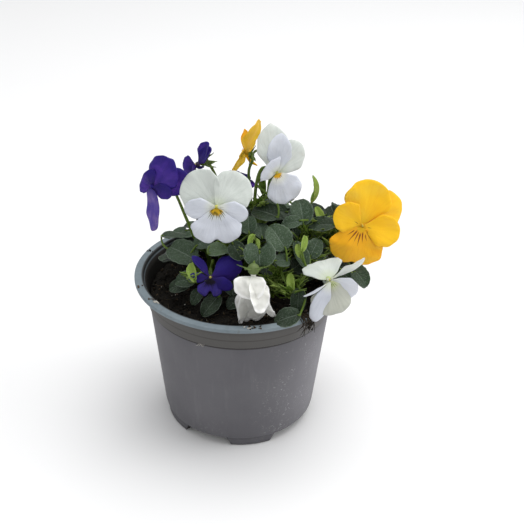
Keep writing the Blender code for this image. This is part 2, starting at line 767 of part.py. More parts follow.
def make_soil(roots, collection):
    """A plug of soil that fills the pot, with a plain hole for each stem."""
    profile = [(radius, soil_height(radius, 0.0)) for radius in SOIL_RINGS]
    inner_floor = FLOOR_Z + FLOOR_THICKNESS + SOIL_GAP
    slope = (SHOULDER_RADIUS - BASE_RADIUS) / (GROOVE_Z - FLOOR_Z)
    side = BASE_RADIUS - WALL - SOIL_GAP - 0.5
    profile.append((side + slope * (SOIL_EDGE_Z - inner_floor), SOIL_EDGE_Z))
    profile.append((side, inner_floor + INNER_FILLET[1]))
    profile.append((side - INNER_FILLET[0], inner_floor))
    profile.append((0.0, inner_floor))
    soil = lathe("soil", profile, SOIL_STEPS, collection)
    rng = random.Random(SEED)
    for vert in soil.data.vertices:
        place = vert.co / MM
        if place.z > SOIL_EDGE_Z - 1.0 and place.xy.length < SOIL_RADIUS - 1.0:
            vert.co.z += rng.uniform(-SOIL_LUMP, SOIL_LUMP) * MM
    holes = new_collection("hole_cutters")
    for x, y in roots:
        bm = bmesh.new()
        radius = (STEM_RADIUS + HOLE_GAP) / math.cos(math.pi / HOLE_SIDES) * MM
        bmesh.ops.create_cone(bm, cap_ends=True, segments=HOLE_SIDES, radius1=radius,
                              radius2=radius, depth=2 * ROOT_DEPTH * MM)
        floor = soil_height(x, y) - ROOT_DEPTH - HOLE_GAP
        bm.transform(Matrix.Translation(Vector((x, y, floor + ROOT_DEPTH)) * MM))
        link_mesh("hole_cutter", mesh_of(bm, "hole_cutter"), holes)
    cut_away(soil, holes)
    shade_round(soil)
    return soil


# Blooms

def bloom_frame(bloom):
    return face_frame(bloom["eye"], bloom["face"][0], bloom["face"][1], bloom["roll"])


def petal_frame(shape):
    """From a petal's own frame, its claw at the origin, to the bloom's frame."""
    turn = Matrix.Rotation(math.radians(shape["angle"]), 4, "Z")
    place = Matrix.Translation((0.0, 0.3, shape["layer"] + PETAL_SEAT))
    tilt = Matrix.Rotation(math.radians(shape["tilt"]), 4, "X")
    twist = Matrix.Rotation(math.radians(shape["twist"]), 4, "Y")
    return turn @ place @ tilt @ twist


def make_ball(name, radius, place, collection):
    bm = bmesh.new()
    bmesh.ops.create_icosphere(bm, subdivisions=1, radius=radius * MM)
    bm.transform(Matrix.Translation(Vector(place) * MM))
    return link_mesh(name, mesh_of(bm, name), collection)


def make_bloom(key, bloom, collection, material):
    """Five petals and the spur behind them, grown together at the throat."""
    frame = bloom_frame(bloom)
    name = "bloom_" + key
    base = make_ball(name, HUB_RADIUS, (0, 0, HUB_Z), collection)
    pieces = new_collection(name + "_pieces")
    for shape in bloom["petals"]:
        add_blade("petal", petal_surface(shape), petal_frame(shape), PETAL_THICKNESS, pieces)
    spur = [Vector(point) * bloom.get("spur", 1.0) for point in SPUR]
    make_tube("spur", spur, SPUR_RADII, pieces, 0)
    for piece in [base, *pieces.objects]:
        piece.matrix_world = scaled(frame)
    bpy.context.view_layer.update()
    for piece in [base, *pieces.objects]:
        PLACED.append(object_room(name, piece))
    join_pieces(base, pieces)
    base.data.materials.clear()
    base.data.materials.append(material)
    shade_round(base)
    return base


# Leafy stems

def stem_route(key, stem):
    """A stem's smooth route, from its root in the soil to its calyx or its end."""
    x, y = STEM_ROOTS[key]
    soil = soil_height(x, y)
    points = [(x, y, soil - ROOT_DEPTH), (x, y, soil + COLLAR), *stem["route"]]
    if stem["bloom"]:
        frame = bloom_frame(BLOOMS[stem["bloom"]])
        calyx = Vector(CALYX)
        arc = BLOOMS[stem["bloom"]].get("arc", ARC)
        points += [frame @ (calyx + Vector(offset)) for offset in arc]
        points.append(frame @ calyx)
    return [Vector(points[0])] + smooth_route(points[1:], 1)


def add_calyx(key, bloom, pieces):
    """The calyx behind the petals: a five-pointed star of narrow sepals."""
    bm = bmesh.new()
    bmesh.ops.create_circle(bm, cap_ends=True, cap_tris=True, segments=2 * SEPAL_COUNT,
                            radius=1.0)
    for vert in bm.verts:
        if vert.co.length > 0.5:
            angle = math.atan2(-vert.co.x, vert.co.y)
            point = round(angle / math.pi * SEPAL_COUNT) % 2 == 0
            radius, drop = bloom.get("sepals", SEPALS) if point else (SEPAL_ROOT, 0.0)
            vert.co = Vector((-math.sin(angle) * radius, math.cos(angle) * radius, -drop)) * MM
    frame = bloom_frame(bloom) @ Matrix.Translation(CALYX)
    star = add_blade("calyx", bm, frame, SEPAL_THICKNESS, pieces)
    PLACED.append(object_room("stem_" + key, star))


def leaf_frame(spec):
    """A leaf's frame, with the blade's base at the origin and its tip along y."""
    frame = face_frame(spec["centre"], spec["face"][0], spec["face"][1], spec["clock"])
    return frame @ Matrix.Translation((0, -spec["length"] / 2, 0))


def petiole_route(start, frame):
    """The leaf stalk, from its stem to just inside the blade's base."""
    base = frame.translation
    along = (frame.to_3x3() @ Vector((0, 1, 0))).normalized()
    span = (base - start).length
    end = base + along * SINK
    middle = (start + base - along * span * STALK_LEVEL) / 2 + Vector((0, 0, span * STALK_SAG))
    return [start, middle, end]


def leaf_surface(spec):
    rows = 5 if spec["length"] > LONG_LEAF else 4
    return strip_surface(spec, leaf_outline, rows, 2, LEAF_TOOTH)


def place_leaf(spec, route, pieces):
    """Put a leaf on its stem, bent clear of every other node, or leave it out."""
    node = "stem_" + spec["stem"]
    start = point_on(route, spec["share"])[0]
    for lift, turn, swing in NUDGES:
        tried = dict(spec)
        centre = Vector(spec["centre"]) + heading(spec["face"][0], spec["face"][1]) * lift
        tried["centre"] = centre
        tried["clock"] = spec["clock"] + turn
        tried["face"] = (spec["face"][0] + swing, spec["face"][1])
        frame = leaf_frame(tried)
        surface = leaf_surface(tried)
        surface.transform(scaled(frame))
        stalk = petiole_route(start, frame)
        rooms = [Room(node, surface, True), route_room(node, stalk[1:], PETIOLE_RADIUS)]
        surface.free()
        if is_clear(rooms):
            PLACED.extend(rooms)
            add_blade("blade", leaf_surface(tried), frame, LEAF_THICKNESS, pieces)
            make_tube("stalk", stalk, (PETIOLE_RADIUS, PETIOLE_RADIUS, STALK_TIP), pieces, 0)
            return True
    return False


def extra_leaf(key, stem, route, rng):
    """Draw a leaf that grows from the stem into the stem's own sector."""
    share = rng.uniform(*EXTRA_SHARE)
    start = point_on(route, share)[0]
    azimuth = rng.uniform(*stem["sector"])
    out = heading(azimuth, rng.uniform(*EXTRA_RISE))
    length = rng.uniform(*EXTRA_LENGTH)
    base = start + out * rng.uniform(*EXTRA_REACH)
    pitch = rng.uniform(*EXTRA_PITCH)
    centre = base + heading(azimuth, pitch) * length / 2
    face = (azimuth, min(90 + pitch, 86))
    return leaf(key, share, centre, face, 180 + rng.uniform(-EXTRA_TURN, EXTRA_TURN), length,
                length * rng.uniform(*EXTRA_WIDTH))


def stipule_surface(length):
    shape = {"length": length, "width": length * STIPULE_WIDTH, "fold": 12.0, "arch": 24.0}
    return strip_surface(shape, lance_outline, 4, 1, STIPULE_TOOTH)


def add_stipules(spec, route, pieces, rng):
    """Lobed stipules spread round a heading at a joint of the stem."""
    node = "stem_" + spec["stem"]
    start, _ = point_on(route, spec["share"])
    for index in range(spec["count"]):
        spread = (index - (spec["count"] - 1) / 2) * STIPULE_SPREAD
        length = spec["length"] * rng.uniform(0.75, 1.0)
        rise = spec["rise"] + rng.uniform(-STIPULE_SWAY, STIPULE_SWAY)
        out = heading(spec["azimuth"] + spread, rise)
        side = out.cross(Vector((0, 0, 1))).normalized()
        turn = Matrix((side, out, side.cross(out))).transposed().to_4x4()
        frame = Matrix.Translation(start + out * 0.5) @ turn
        surface = stipule_surface(length)
        surface.transform(scaled(frame))
        room = Room(node, surface)
        surface.free()
        if is_clear([room]):
            PLACED.append(room)
            add_blade("stipule", stipule_surface(length), frame, LEAF_THICKNESS, pieces)


def make_stem_core(key, stem, collection):
    """The stem itself, with its room taken."""
    node = "stem_" + key
    route = stem_route(key, stem)
    tip = PEDICEL_RADIUS if stem["bloom"] else PETIOLE_RADIUS
    core = make_tube(node, route, (STEM_RADIUS, STEM_RADIUS, tip, tip), collection)
    PLACED.append(route_room(node, route[1:], STEM_RADIUS))
    return core, route


def make_stems(collection, material):
    cores = {}
    pieces = {}
    for key, stem in STEMS.items():
        cores[key] = make_stem_core(key, stem, collection)
        pieces[key] = new_collection("stem_" + key + "_pieces")
        if stem["bloom"]:
            add_calyx(key, BLOOMS[stem["bloom"]], pieces[key])
    for spec in LEAVES:
        key = spec["stem"]
        if not place_leaf(spec, cores[key][1], pieces[key]):
            print("no room for the leaf", key, spec["centre"])
    rng = random.Random(SEED)
    for spec in STIPULES:
        add_stipules(spec, cores[spec["stem"]][1], pieces[spec["stem"]], rng)
    for key, stem in STEMS.items():
        added = 0
        for _ in range(EXTRA_TRIES):
            if added == stem["extra"]:
                break
            spec = extra_leaf(key, stem, cores[key][1], rng)
            added += place_leaf(spec, cores[key][1], pieces[key])
        print("stem", key, "has", added, "leaves more than the hand-placed ones")
    for key in STEMS:
        core = cores[key][0]
        join_pieces(core, pieces[key])
        core.data.materials.clear()
        core.data.materials.append(material)
        shade_round(core)
    return [core for core, route in cores.values()]


def main():
    clear_scene()
    plant = new_collection("potted_horned_violet")
    axis = bpy.data.objects.new("pot_axis", None)
    plant.objects.link(axis)

    petals = {colour: make_material("petal_" + colour, colour, 0.55)
              for colour in ("white", "yellow", "purple")}
    made = [make_pot(plant), make_soil(STEM_ROOTS.values(), plant)]
    made[0].data.materials.append(make_material("pot_plastic", "grey", 0.5))
    made[1].data.materials.append(make_material("potting_soil", "soil", 0.95))
    for piece in made:
        PLACED.append(object_room(piece.name, piece))
    for key, bloom in BLOOMS.items():
        made.append(make_bloom(key, bloom, plant, petals[bloom["colour"]]))
    made += make_stems(plant, make_material("leaf_green", "green", 0.5))

    for piece in made:
        piece.parent = axis
    axis.location = Vector((AXIS_X, AXIS_Y, 0.0)) * MM
    bpy.context.view_layer.update()


main()
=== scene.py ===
# %% [markdown]
# # A potted horned violet
#
# Three young horned violets, one white, one yellow and one purple, share a grey nursery pot.
# The solid model already holds every piece at its real size. This script dresses it: each
# solid is replaced by a finer piece in the same place, with thin petals, toothed leaves,
# veins, crumbs of soil and the dust of the potting bench.

import json
import math
import random

import bmesh
import bpy
from mathutils import Matrix, Vector, kdtree, noise

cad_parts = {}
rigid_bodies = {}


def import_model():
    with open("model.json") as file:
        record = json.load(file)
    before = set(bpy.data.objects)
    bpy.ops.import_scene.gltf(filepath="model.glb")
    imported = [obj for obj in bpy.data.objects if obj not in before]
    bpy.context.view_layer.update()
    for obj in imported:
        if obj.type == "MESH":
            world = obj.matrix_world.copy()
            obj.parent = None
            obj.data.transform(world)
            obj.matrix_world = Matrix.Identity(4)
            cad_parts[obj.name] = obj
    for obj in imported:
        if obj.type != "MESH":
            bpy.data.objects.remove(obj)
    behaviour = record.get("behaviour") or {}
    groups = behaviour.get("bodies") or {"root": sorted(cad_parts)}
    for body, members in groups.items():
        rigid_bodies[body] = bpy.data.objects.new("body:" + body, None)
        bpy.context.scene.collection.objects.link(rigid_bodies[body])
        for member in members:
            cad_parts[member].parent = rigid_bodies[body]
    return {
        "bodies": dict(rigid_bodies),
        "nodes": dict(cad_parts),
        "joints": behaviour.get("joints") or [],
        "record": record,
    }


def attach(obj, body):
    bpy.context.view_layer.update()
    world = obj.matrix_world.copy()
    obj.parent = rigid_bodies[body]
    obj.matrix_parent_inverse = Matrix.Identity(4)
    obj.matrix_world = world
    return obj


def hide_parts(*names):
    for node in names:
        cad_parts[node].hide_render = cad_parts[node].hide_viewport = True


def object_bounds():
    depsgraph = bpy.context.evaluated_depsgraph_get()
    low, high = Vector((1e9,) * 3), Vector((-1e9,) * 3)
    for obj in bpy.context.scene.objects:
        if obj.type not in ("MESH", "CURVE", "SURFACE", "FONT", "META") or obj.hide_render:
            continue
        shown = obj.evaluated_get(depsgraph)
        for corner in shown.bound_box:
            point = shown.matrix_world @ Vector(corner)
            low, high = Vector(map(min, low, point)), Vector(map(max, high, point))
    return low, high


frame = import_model()
cad_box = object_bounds()
print("the solid model has", len(frame["nodes"]), "nodes")

# %% [markdown]
# ## Measures
#
# Lengths below are in millimetres in the pot's own frame: its axis is the z axis, its feet
# stand on z = 0 and -Y is the front. Blender works in metres, and the whole plant is centred
# on the origin, so a piece is scaled and shifted once, when it is finished.

# %% Units and the pot's axis
MM = 0.001
AXIS_X = -14.8
TO_METRES = Matrix.Scale(MM, 4) @ Matrix.Translation((AXIS_X, 0.0, 0.0))


def heading(azimuth, elevation):
    """Unit vector: azimuth 0 is +X, -90 is the front, elevation is upward."""
    az, el = math.radians(azimuth), math.radians(elevation)
    return Vector((math.cos(az) * math.cos(el), math.sin(az) * math.cos(el), math.sin(el)))


def ease(value):
    """Smooth step from 0 to 1."""
    value = min(max(value, 0.0), 1.0)
    return value * value * (3 - 2 * value)


def lift(height):
    """A step straight up."""
    return Vector((0, 0, height))


def rotation(degrees, axis):
    """A turn about an axis."""
    return Matrix.Rotation(math.radians(degrees), 4, axis)


def mesh_of(bm, name):
    """Write a bmesh into a new mesh and let the bmesh go."""
    mesh = bpy.data.meshes.new(name)
    bm.to_mesh(mesh)
    bm.free()
    return mesh


def add_object(name, data):
    """Put a mesh, lamp or camera into the scene."""
    obj = bpy.data.objects.new(name, data)
    bpy.context.scene.collection.objects.link(obj)
    return obj


# %% [markdown]
# ## The camera
#
# The photograph was taken from above the rim, about 60 cm from the plant, with a slight turn
# of the hand. A long lens from that distance gives the same weak perspective.

# %% Camera at the photograph's angle
EYE = Vector((0.0, -501.4, 389.5))
LOOK = Vector((0.021, 0.8641, -0.5029)).normalized()
CAMERA_ROLL = 0.022
SENSOR = 36.0
FOCAL_PIXELS = 1024.5
PHOTO_PIXELS = 524.0

side = LOOK.cross(Vector((0, 0, 1))).normalized()
over = side.cross(LOOK)
cos_roll, sin_roll = math.cos(CAMERA_ROLL), math.sin(CAMERA_ROLL)
turned = Matrix((side * cos_roll + over * sin_roll, over * cos_roll - side * sin_roll,
                 -LOOK)).transposed().to_4x4()
camera_data = bpy.data.cameras.new("photo_camera")
camera_data.sensor_width = SENSOR
camera_data.lens = FOCAL_PIXELS / PHOTO_PIXELS * SENSOR
camera = add_object("photo_camera", camera_data)
camera.matrix_world = Matrix.Translation(TO_METRES @ EYE) @ turned
bpy.context.scene.camera = camera
print("lens", round(camera_data.lens, 1), "mm")

# %% [markdown]
# ## Finishes
#
# A finish is a node network. Writing it as arithmetic keeps it readable: a Field is one
# output of a node, and adding or multiplying Fields adds the Math nodes. The Finish class
# makes every other kind of node with a single method.


# %% Fields and finishes
class Field:
    """A number or colour that varies over a surface: a node's output that does sums."""

    def __init__(self, finish, socket):
        self.finish = finish
        self.socket = socket

    def math(self, operation, *others):
        return self.finish.node("Math", dict(enumerate((self, *others))), operation=operation)

    def __add__(self, other):
        return self.math("ADD", other)

    def __sub__(self, other):
        return self.math("SUBTRACT", other)

    def __mul__(self, other):
        return self.math("MULTIPLY", other)

    def __truediv__(self, other):
        return self.math("DIVIDE", other)

    def __rsub__(self, other):
        return self.finish.node("Math", {0: other, 1: self}, operation="SUBTRACT")

    def __abs__(self):
        return self.math("ABSOLUTE")

    __radd__ = __add__
    __rmul__ = __mul__


class Finish:
    """A material in the making; its colour is built up in coats."""

    def __init__(self, name, constants):
        self.material = bpy.data.materials.new(name)
        self.material.use_nodes = True
        self.tree = self.material.node_tree
        self.shader = self.tree.nodes["Principled BSDF"]
        for socket, value in constants.items():
            self.shader.inputs[socket].default_value = value

    def node(self, kind, inputs, output=0, stops=None, **settings):
        """Add a node: its settings first, then the values or links of its sockets."""
        made = self.tree.nodes.new("ShaderNode" + kind)
        for setting, value in settings.items():
            setattr(made, setting, value)
        for key, value in inputs.items():
            if isinstance(value, Field):
                self.tree.links.new(value.socket, made.inputs[key])
            else:
                made.inputs[key].default_value = value
        for position, colour in stops or ():
            made.color_ramp.elements.new(position).color = colour
        return Field(self, made.outputs[output])

    def place(self):
        """Where a point is on the object, in metres."""
        return self.node("TexCoord", {}, "Object")

    def blade_map(self):
        """The place on the petal or leaf itself."""
        return self.node("UVMap", {}, uv_map="blade")

    def tone(self):
        """The number that each blade, stem or crumb carries."""
        return self.node("Attribute", {}, "Fac", attribute_name="tone")

    def part(self, vector, axis):
        return self.node("SeparateXYZ", {0: vector}, axis)

    def noise(self, vector, scale, detail=2.0, roughness=0.5):
        return self.node("TexNoise", {"Vector": vector, "Scale": scale, "Detail": detail,
                                      "Roughness": roughness})

    def step(self, value, low, high):
        """A smooth step from 0 at low to 1 at high."""
        return self.node("MapRange", {0: value, 1: low, 2: high, 3: 0.0, 4: 1.0},
                         interpolation_type="SMOOTHSTEP")

    def fade(self, value, low, high):
        """A smooth step from 1 at low to 0 at high."""
        return 1 - self.step(value, low, high)

    def mix(self, first, second, factor):
        """Blend two colours."""
        return self.node("Mix", {0: factor, 6: first, 7: second}, 2, data_type="RGBA")

    def coat(self, colour, cover):
        """Lay a colour over the finish, as dense as the cover says."""
        self.colour = self.mix(self.colour, colour, cover)

    def away(self, point, scale):
        """Distance in metres from a point in millimetres, with each axis scaled."""
        centre = TO_METRES @ Vector(point)
        off = self.node("VectorMath", {0: self.place(), 1: centre}, operation="SUBTRACT")
        off = self.node("VectorMath", {0: off, 1: scale}, operation="MULTIPLY")
        return self.node("VectorMath", {0: off}, "Value", operation="LENGTH")

    def near(self, point, reach, squash):
        """1 at a point in millimetres, fading to 0 at a reach; squash flattens z."""
        return self.fade(self.away(point, (1.0, 1.0, squash)), 0.0, reach * MM)

    def feed(self, socket, value):
        self.tree.links.new(value.socket, self.shader.inputs[socket])

    def done(self, height, distance, roughness=None):
        """Link the colour and the roughness, and raise the surface by some millimetres."""
        self.feed("Base Color", self.colour)
        if roughness:
            self.feed("Roughness", roughness)
        self.feed("Normal", self.node("Bump", {"Distance": distance * MM, "Height": height}))
        return self


def tint(red, green, blue):
    """A colour given as it reads on a screen, from 0 to 255, as Blender mixes it."""
    parts = [channel / 255 for channel in (red, green, blue)]
    return (*[p / 12.92 if p < 0.04 else ((p + 0.055) / 1.055) ** 2.4 for p in parts], 1.0)


def flesh(weight, scale, specular=0.5, radius=(1.0, 1.0, 1.0)):
    """Constants of a soft part: how much light soaks in, how far in metres, its shine."""
    return {"Subsurface Weight": weight, "Subsurface Scale": scale,
            "Subsurface Radius": radius, "Specular IOR Level": specular}


print("white reads", [round(channel, 2) for channel in tint(255, 255, 255)])


# %% [markdown]
# ## Pieces
#
# Every piece grows in one bmesh. Its faces know which finish they take, each point carries a
# tone from 0 to 1 that the finish can read, and petals and leaves carry a map of themselves,
# so that veins follow the blade however it bends.

# %% A piece in the making
def scrap():
    """A small bmesh for one part: work on it stays quick however big its piece grows."""
    bm = bmesh.new()
    return bm, bm.loops.layers.uv.new("blade"), bm.verts.layers.float.new("tone")


class Piece:
    """One bmesh in millimetres, with the finishes that its faces use."""

    def __init__(self, name):
        self.name = name
        self.bm = scrap()[0]
        self.finishes = []

    def add(self, bm, finish, smooth=True):
        """Take a closed part into the piece, its faces outward and in their finish."""
        if finish not in self.finishes:
            self.finishes.append(finish)
        bmesh.ops.recalc_face_normals(bm, faces=bm.faces)
        for face in bm.faces:
            face.material_index = self.finishes.index(finish)
            face.smooth = smooth
        mesh = mesh_of(bm, "part")
        self.bm.from_mesh(mesh)
        bpy.data.meshes.remove(mesh)

    def make(self, slot, *nodes):
        """Make the object. It rides on the pot and stands for the solids named."""
        self.bm.transform(TO_METRES)
        mesh = mesh_of(self.bm, self.name)
        for finish in self.finishes:
            mesh.materials.append(finish.material)
        obj = add_object(self.name, mesh)
        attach(obj, "root")
        if nodes:
            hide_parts(*nodes)
        triangles = sum(len(face.vertices) - 2 for face in mesh.polygons)
        print(self.name, "has", triangles, "triangles")
        return obj


# %% Tubes and crumbs
def smooth_route(points, per_span):
    """Points of a smooth curve through the given points."""
    points = [Vector(point) for point in points]
    chain = [points[0] * 2 - points[1], *points, points[-1] * 2 - points[-2]]
    route = []
    for index in range(1, len(chain) - 2):
        a, b, c, d = chain[index - 1:index + 3]
        for step in range(per_span):
            t = step / per_span
            route.append(0.5 * ((2 * b) + (c - a) * t + (2 * a - 5 * b + 4 * c - d) * t * t
                                + (3 * b - a - 3 * c + d) * t * t * t))
    route.append(points[-1])
    return route


def between(values, share):
    """Read a short list of values as a smooth ramp from share 0 to share 1."""
    place = share * (len(values) - 1)
    low = min(int(place), len(values) - 2)
    return values[low] + (values[low + 1] - values[low]) * (place - low)


def sweep(piece, route, radii, sides, finish, tones=(0.5, 0.5)):
    """Extrude a ring of points along a route, as thick at each place as the radii say."""
    bm, _, tone = scrap()
    ring = bmesh.ops.create_circle(bm, cap_ends=True, segments=sides, radius=1.0)["verts"]
    edges = list(bm.edges)
    last = len(route) - 1
    along = (route[1] - route[0]).normalized()
    turn = along.to_track_quat("Z", "Y")
    before = Matrix.Identity(4)
    for index, point in enumerate(route):
        ahead = (route[min(index + 1, last)] - route[max(index - 1, 0)]).normalized()
        turn = along.rotation_difference(ahead) @ turn
        along = ahead
        share = index / last
        size = Matrix.Scale(max(between(radii, share), 0.01), 4)
        here = Matrix.Translation(point) @ turn.to_matrix().to_4x4() @ size
        if index:
            made = bmesh.ops.extrude_edge_only(bm, edges=edges)["geom"]
            ring = [part for part in made if isinstance(part, bmesh.types.BMVert)]
            fresh = set(ring)
            edges = [part for part in made if isinstance(part, bmesh.types.BMEdge)
                     and fresh.issuperset(part.verts)]
        move = here @ before.inverted()
        for vert in ring:
            vert.co = move @ vert.co
            vert[tone] = between(tones, share)
        before = here
    bmesh.ops.contextual_create(bm, geom=edges)
    piece.add(bm, finish)


CRUMB_LEAN = 20


def crumb(piece, place, size, finish, rng, tone=0.5):
    """A lump: a coarse ball with its points pushed in and out."""
    bm, _, tone_of = scrap()
    bmesh.ops.create_icosphere(bm, subdivisions=1, radius=1.0)
    stretch = Matrix.Diagonal((*[rng.uniform(0.6, 1.2) * size for _ in range(3)], 1.0))
    turn = Matrix.Rotation(rng.uniform(0, 6.28), 4, heading(rng.uniform(0, 360), CRUMB_LEAN))
    for vert in bm.verts:
        vert.co = Vector(place) + turn @ stretch @ (vert.co * rng.uniform(0.7, 1.15))
        vert[tone_of] = tone
    piece.add(bm, finish, smooth=False)


# %% [markdown]
# ## The pot
#
# A nursery pot is thermoformed or moulded from recycled polypropylene, so it is a turned
# form: a half section spun about the axis gives the wall, the groove under the shoulder and
# the flat lip in one go. The feet are arcs of a ring, each with slanted ends. Its finish is
# a dull grey plastic that has stood outdoors, with grime on the rim and pale scuffs on the
# flank. Light and shade are painted on it too: a bluish sky reflection on the flat rim, shade
# on the shoulder, in the groove and under the lip, and a sheen, mixed with dust, on the right
# flank. The inner wall above the soil is darkened nearly to black.

# %% Pot sizes
POT_HEIGHT = 91.4
RIM_RADIUS = 60.0
RIM_INNER = 55.5
LIP_Z = 89.2
SHOULDER_RADIUS = 52.6
GROOVE_Z = 74.2
GROOVE_DEPTH = 0.7
SECOND_LINE_Z = 79.6
BASE_RADIUS = 44.1
WALL = 1.5
FLOOR_Z = 5.0
FLOOR_THICKNESS = 1.8
FOOT_RADIUS = 42.8
FOOT_WIDTH = 4.0
FOOT_PAIRS = 3
FOOT_SPAN = 38.0
FOOT_STEPS = 14
FOOT_CORNER = 0.7
NARROW_NOTCH = 11.0
FIRST_FOOT = -9.5
NOTCH_SLANT = 3.0
POT_STEPS = 144
DRAINS = 3
DRAIN_RADIUS = 4.0
DRAIN_RING = 33.0
DRAIN_START = 60
DRAIN_SIDES = 32

SLOPE = (SHOULDER_RADIUS - BASE_RADIUS) / (GROOVE_Z - FLOOR_Z)
UNDER_LIP = SHOULDER_RADIUS + SLOPE * (LIP_Z - GROOVE_Z)
BODY_TOP = SHOULDER_RADIUS - GROOVE_DEPTH


def body_radius(z):
    """Radius of the pot's flank at a height."""
    return BASE_RADIUS + (BODY_TOP - BASE_RADIUS) * (z - FLOOR_Z) / (GROOVE_Z - FLOOR_Z)


print("flank radius half way up:", round(body_radius(40), 1), "mm")


# %% Pot plastic
def pot_plastic():
    """Dull grey plastic, scuffed on the flank, with painted sky sheen on the rim and painted
    shade on the shoulder.
    """
    pot = Finish("pot_plastic", {"Specular IOR Level": 0.35})
    place = pot.place()
    height = pot.part(place, "Z") / MM
    cloud = pot.noise(place, 38, 4)
    fine = pot.noise(place, 900, 3, 0.6)
    streak = pot.noise(pot.node("Mapping", {0: place, 3: (260, 260, 26)}), 1, 4, 0.6)
    pot.colour = pot.mix(tint(83, 82, 87), tint(103, 102, 106), cloud)
    pot.coat(tint(132, 131, 134), pot.step(streak, 0.52, 0.8) * 0.16)
    # Painted shade: the shoulder below the rim is painted darker and browner, as in the rim's
    # shade.
    shoulder = pot.step(height, 73.5, 75.0) * pot.fade(height, 88.0, 89.0)
    pot.coat(tint(74, 72, 68), shoulder * 0.8)
    # Painted shade: dark lines in the groove and at the second step, and a dark band under the
    # lip.
    crease = pot.fade(abs(height - (GROOVE_Z - 0.3)), 0.2, 1.0)
    under = pot.step(height, 82.0, 88.4) * pot.fade(height, 88.6, 89.4)
    line = pot.fade(abs(height - SECOND_LINE_Z), 0.1, 0.6)
    pot.coat(tint(46, 42, 38), crease * 0.8 + under * 0.8 + line * 0.5)
    # Painted reflection: the flat rim is painted lighter and bluish, as where it mirrors the
    # sky.
    rim = pot.step(height, 88.9, 89.6)
    sky_sheen = pot.mix(tint(96, 108, 115), tint(132, 144, 150), pot.noise(place, 150, 5, 0.65))
    pot.coat(sky_sheen, rim)
    grime = pot.step(pot.noise(place, 210, 5, 0.7), 0.56, 0.75)
    pot.coat(tint(88, 84, 78), grime * rim * 0.4)
    dust = pot.near((33.0, -36.0, 37.0), 36.0, 0.6)
    specks = pot.step(pot.noise(place, 520, 6, 0.8), 0.57, 0.64)
    specks = specks * pot.step(pot.noise(place, 75, 2), 0.42, 0.56)
    scuff = specks * (dust * 0.75 + pot.fade(height, 4.0, 30.0) * 0.18)
    pot.coat(tint(196, 195, 195), scuff)
    # The right flank is painted lighter: partly dust, partly a painted sheen.
    dust_and_sheen = pot.near((50.0, -20.0, 40.0), 45.0, 0.7) * (0.55 + cloud * 0.45)
    pot.coat(tint(150, 148, 154), dust_and_sheen * 0.6)
    # The inner wall above the soil and the inner edge of the lip are darkened nearly to black.
    radius = pot.away((0, 0, 0), (1.0, 1.0, 0.0)) / MM
    inside = pot.fade(radius - (height - FLOOR_Z) * SLOPE, BASE_RADIUS - 1.2, BASE_RADIUS - 0.6)
    inner_darkening = inside * pot.fade(height + (fine - 0.5) * 3.0, 90.6, 91.6)
    lip = pot.step(height, 89.6, 90.2) * pot.fade(radius, RIM_INNER + 0.1, RIM_INNER + 0.9)
    pot.coat(tint(24, 21, 18), inner_darkening.math("MAXIMUM", lip) * 0.92)
    return pot.done(fine * 0.35 + streak * 0.4 + scuff, 0.12,
                    0.5 + fine * 0.16 + scuff * 0.3)


POT_PLASTIC = pot_plastic()


# %% The turned body
def turn_section(section, steps):
    """Spin a half section of (radius, z) points about the pot's axis."""
    bm = scrap()[0]
    made = [bm.verts.new((radius, 0.0, z)) for radius, z in section]
    edges = [bm.edges.new(pair) for pair in zip(made, made[1:])]
    bmesh.ops.spin(bm, geom=made + edges, axis=(0, 0, 1), cent=(0, 0, 0), steps=steps,
                   angle=math.tau, use_merge=True)
    bmesh.ops.remove_doubles(bm, verts=bm.verts, dist=0.001)
    return bm


def arc_section(centre, radius, start, end, count):
    """A rounded corner of the half section, as points."""
    angles = [math.radians(start + (end - start) * k / (count - 1)) for k in range(count)]
    return [(centre[0] + radius * math.cos(a), centre[1] + radius * math.sin(a))
            for a in angles]


FLOOR_TOP = FLOOR_Z + FLOOR_THICKNESS
SECTION = [
    (0.0, FLOOR_TOP), (20.0, FLOOR_TOP),
    *arc_section((BASE_RADIUS - WALL - 2.0, FLOOR_TOP + 2.0), 2.0, -90, 0, 5),
    (UNDER_LIP - WALL - 0.6, LIP_Z - 6.0), (UNDER_LIP - WALL, LIP_Z - 3.0),
    *arc_section((RIM_INNER + 0.3, POT_HEIGHT - 0.9), 0.9, 170, 90, 5),
    (57.6, POT_HEIGHT - 0.12),
    *arc_section((RIM_RADIUS - 0.7, POT_HEIGHT - 0.7), 0.7, 90, 0, 5),
    *arc_section((RIM_RADIUS - 0.5, LIP_Z + 0.3), 0.5, 0, -90, 4),
    *arc_section((UNDER_LIP + 1.2, LIP_Z - 1.2), 1.2, 90, 180, 4),
    (UNDER_LIP - 0.15, 86.4), (UNDER_LIP - 0.45, 86.0), (UNDER_LIP - 0.55, 85.6),
    (SHOULDER_RADIUS + 0.02, GROOVE_Z + 1.1),
    *arc_section((SHOULDER_RADIUS - 0.4, GROOVE_Z + 0.7), 0.4, 0, -80, 4),
    (BODY_TOP - 0.35, GROOVE_Z + 0.1), (BODY_TOP - 0.3, GROOVE_Z - 0.5),
    (body_radius(GROOVE_Z - 1.2), GROOVE_Z - 1.2), (body_radius(40), 40.0),
    (body_radius(FLOOR_Z + 4), FLOOR_Z + 4),
    *arc_section((BASE_RADIUS - 2.0, FLOOR_Z + 2.0), 2.0, 0, -90, 5),
    (20.0, FLOOR_Z), (0.0, FLOOR_Z),
]
pot = Piece("pot_body")
pot.add(turn_section(SECTION, POT_STEPS), POT_PLASTIC)
print("pot body:", len(pot.bm.faces), "faces")


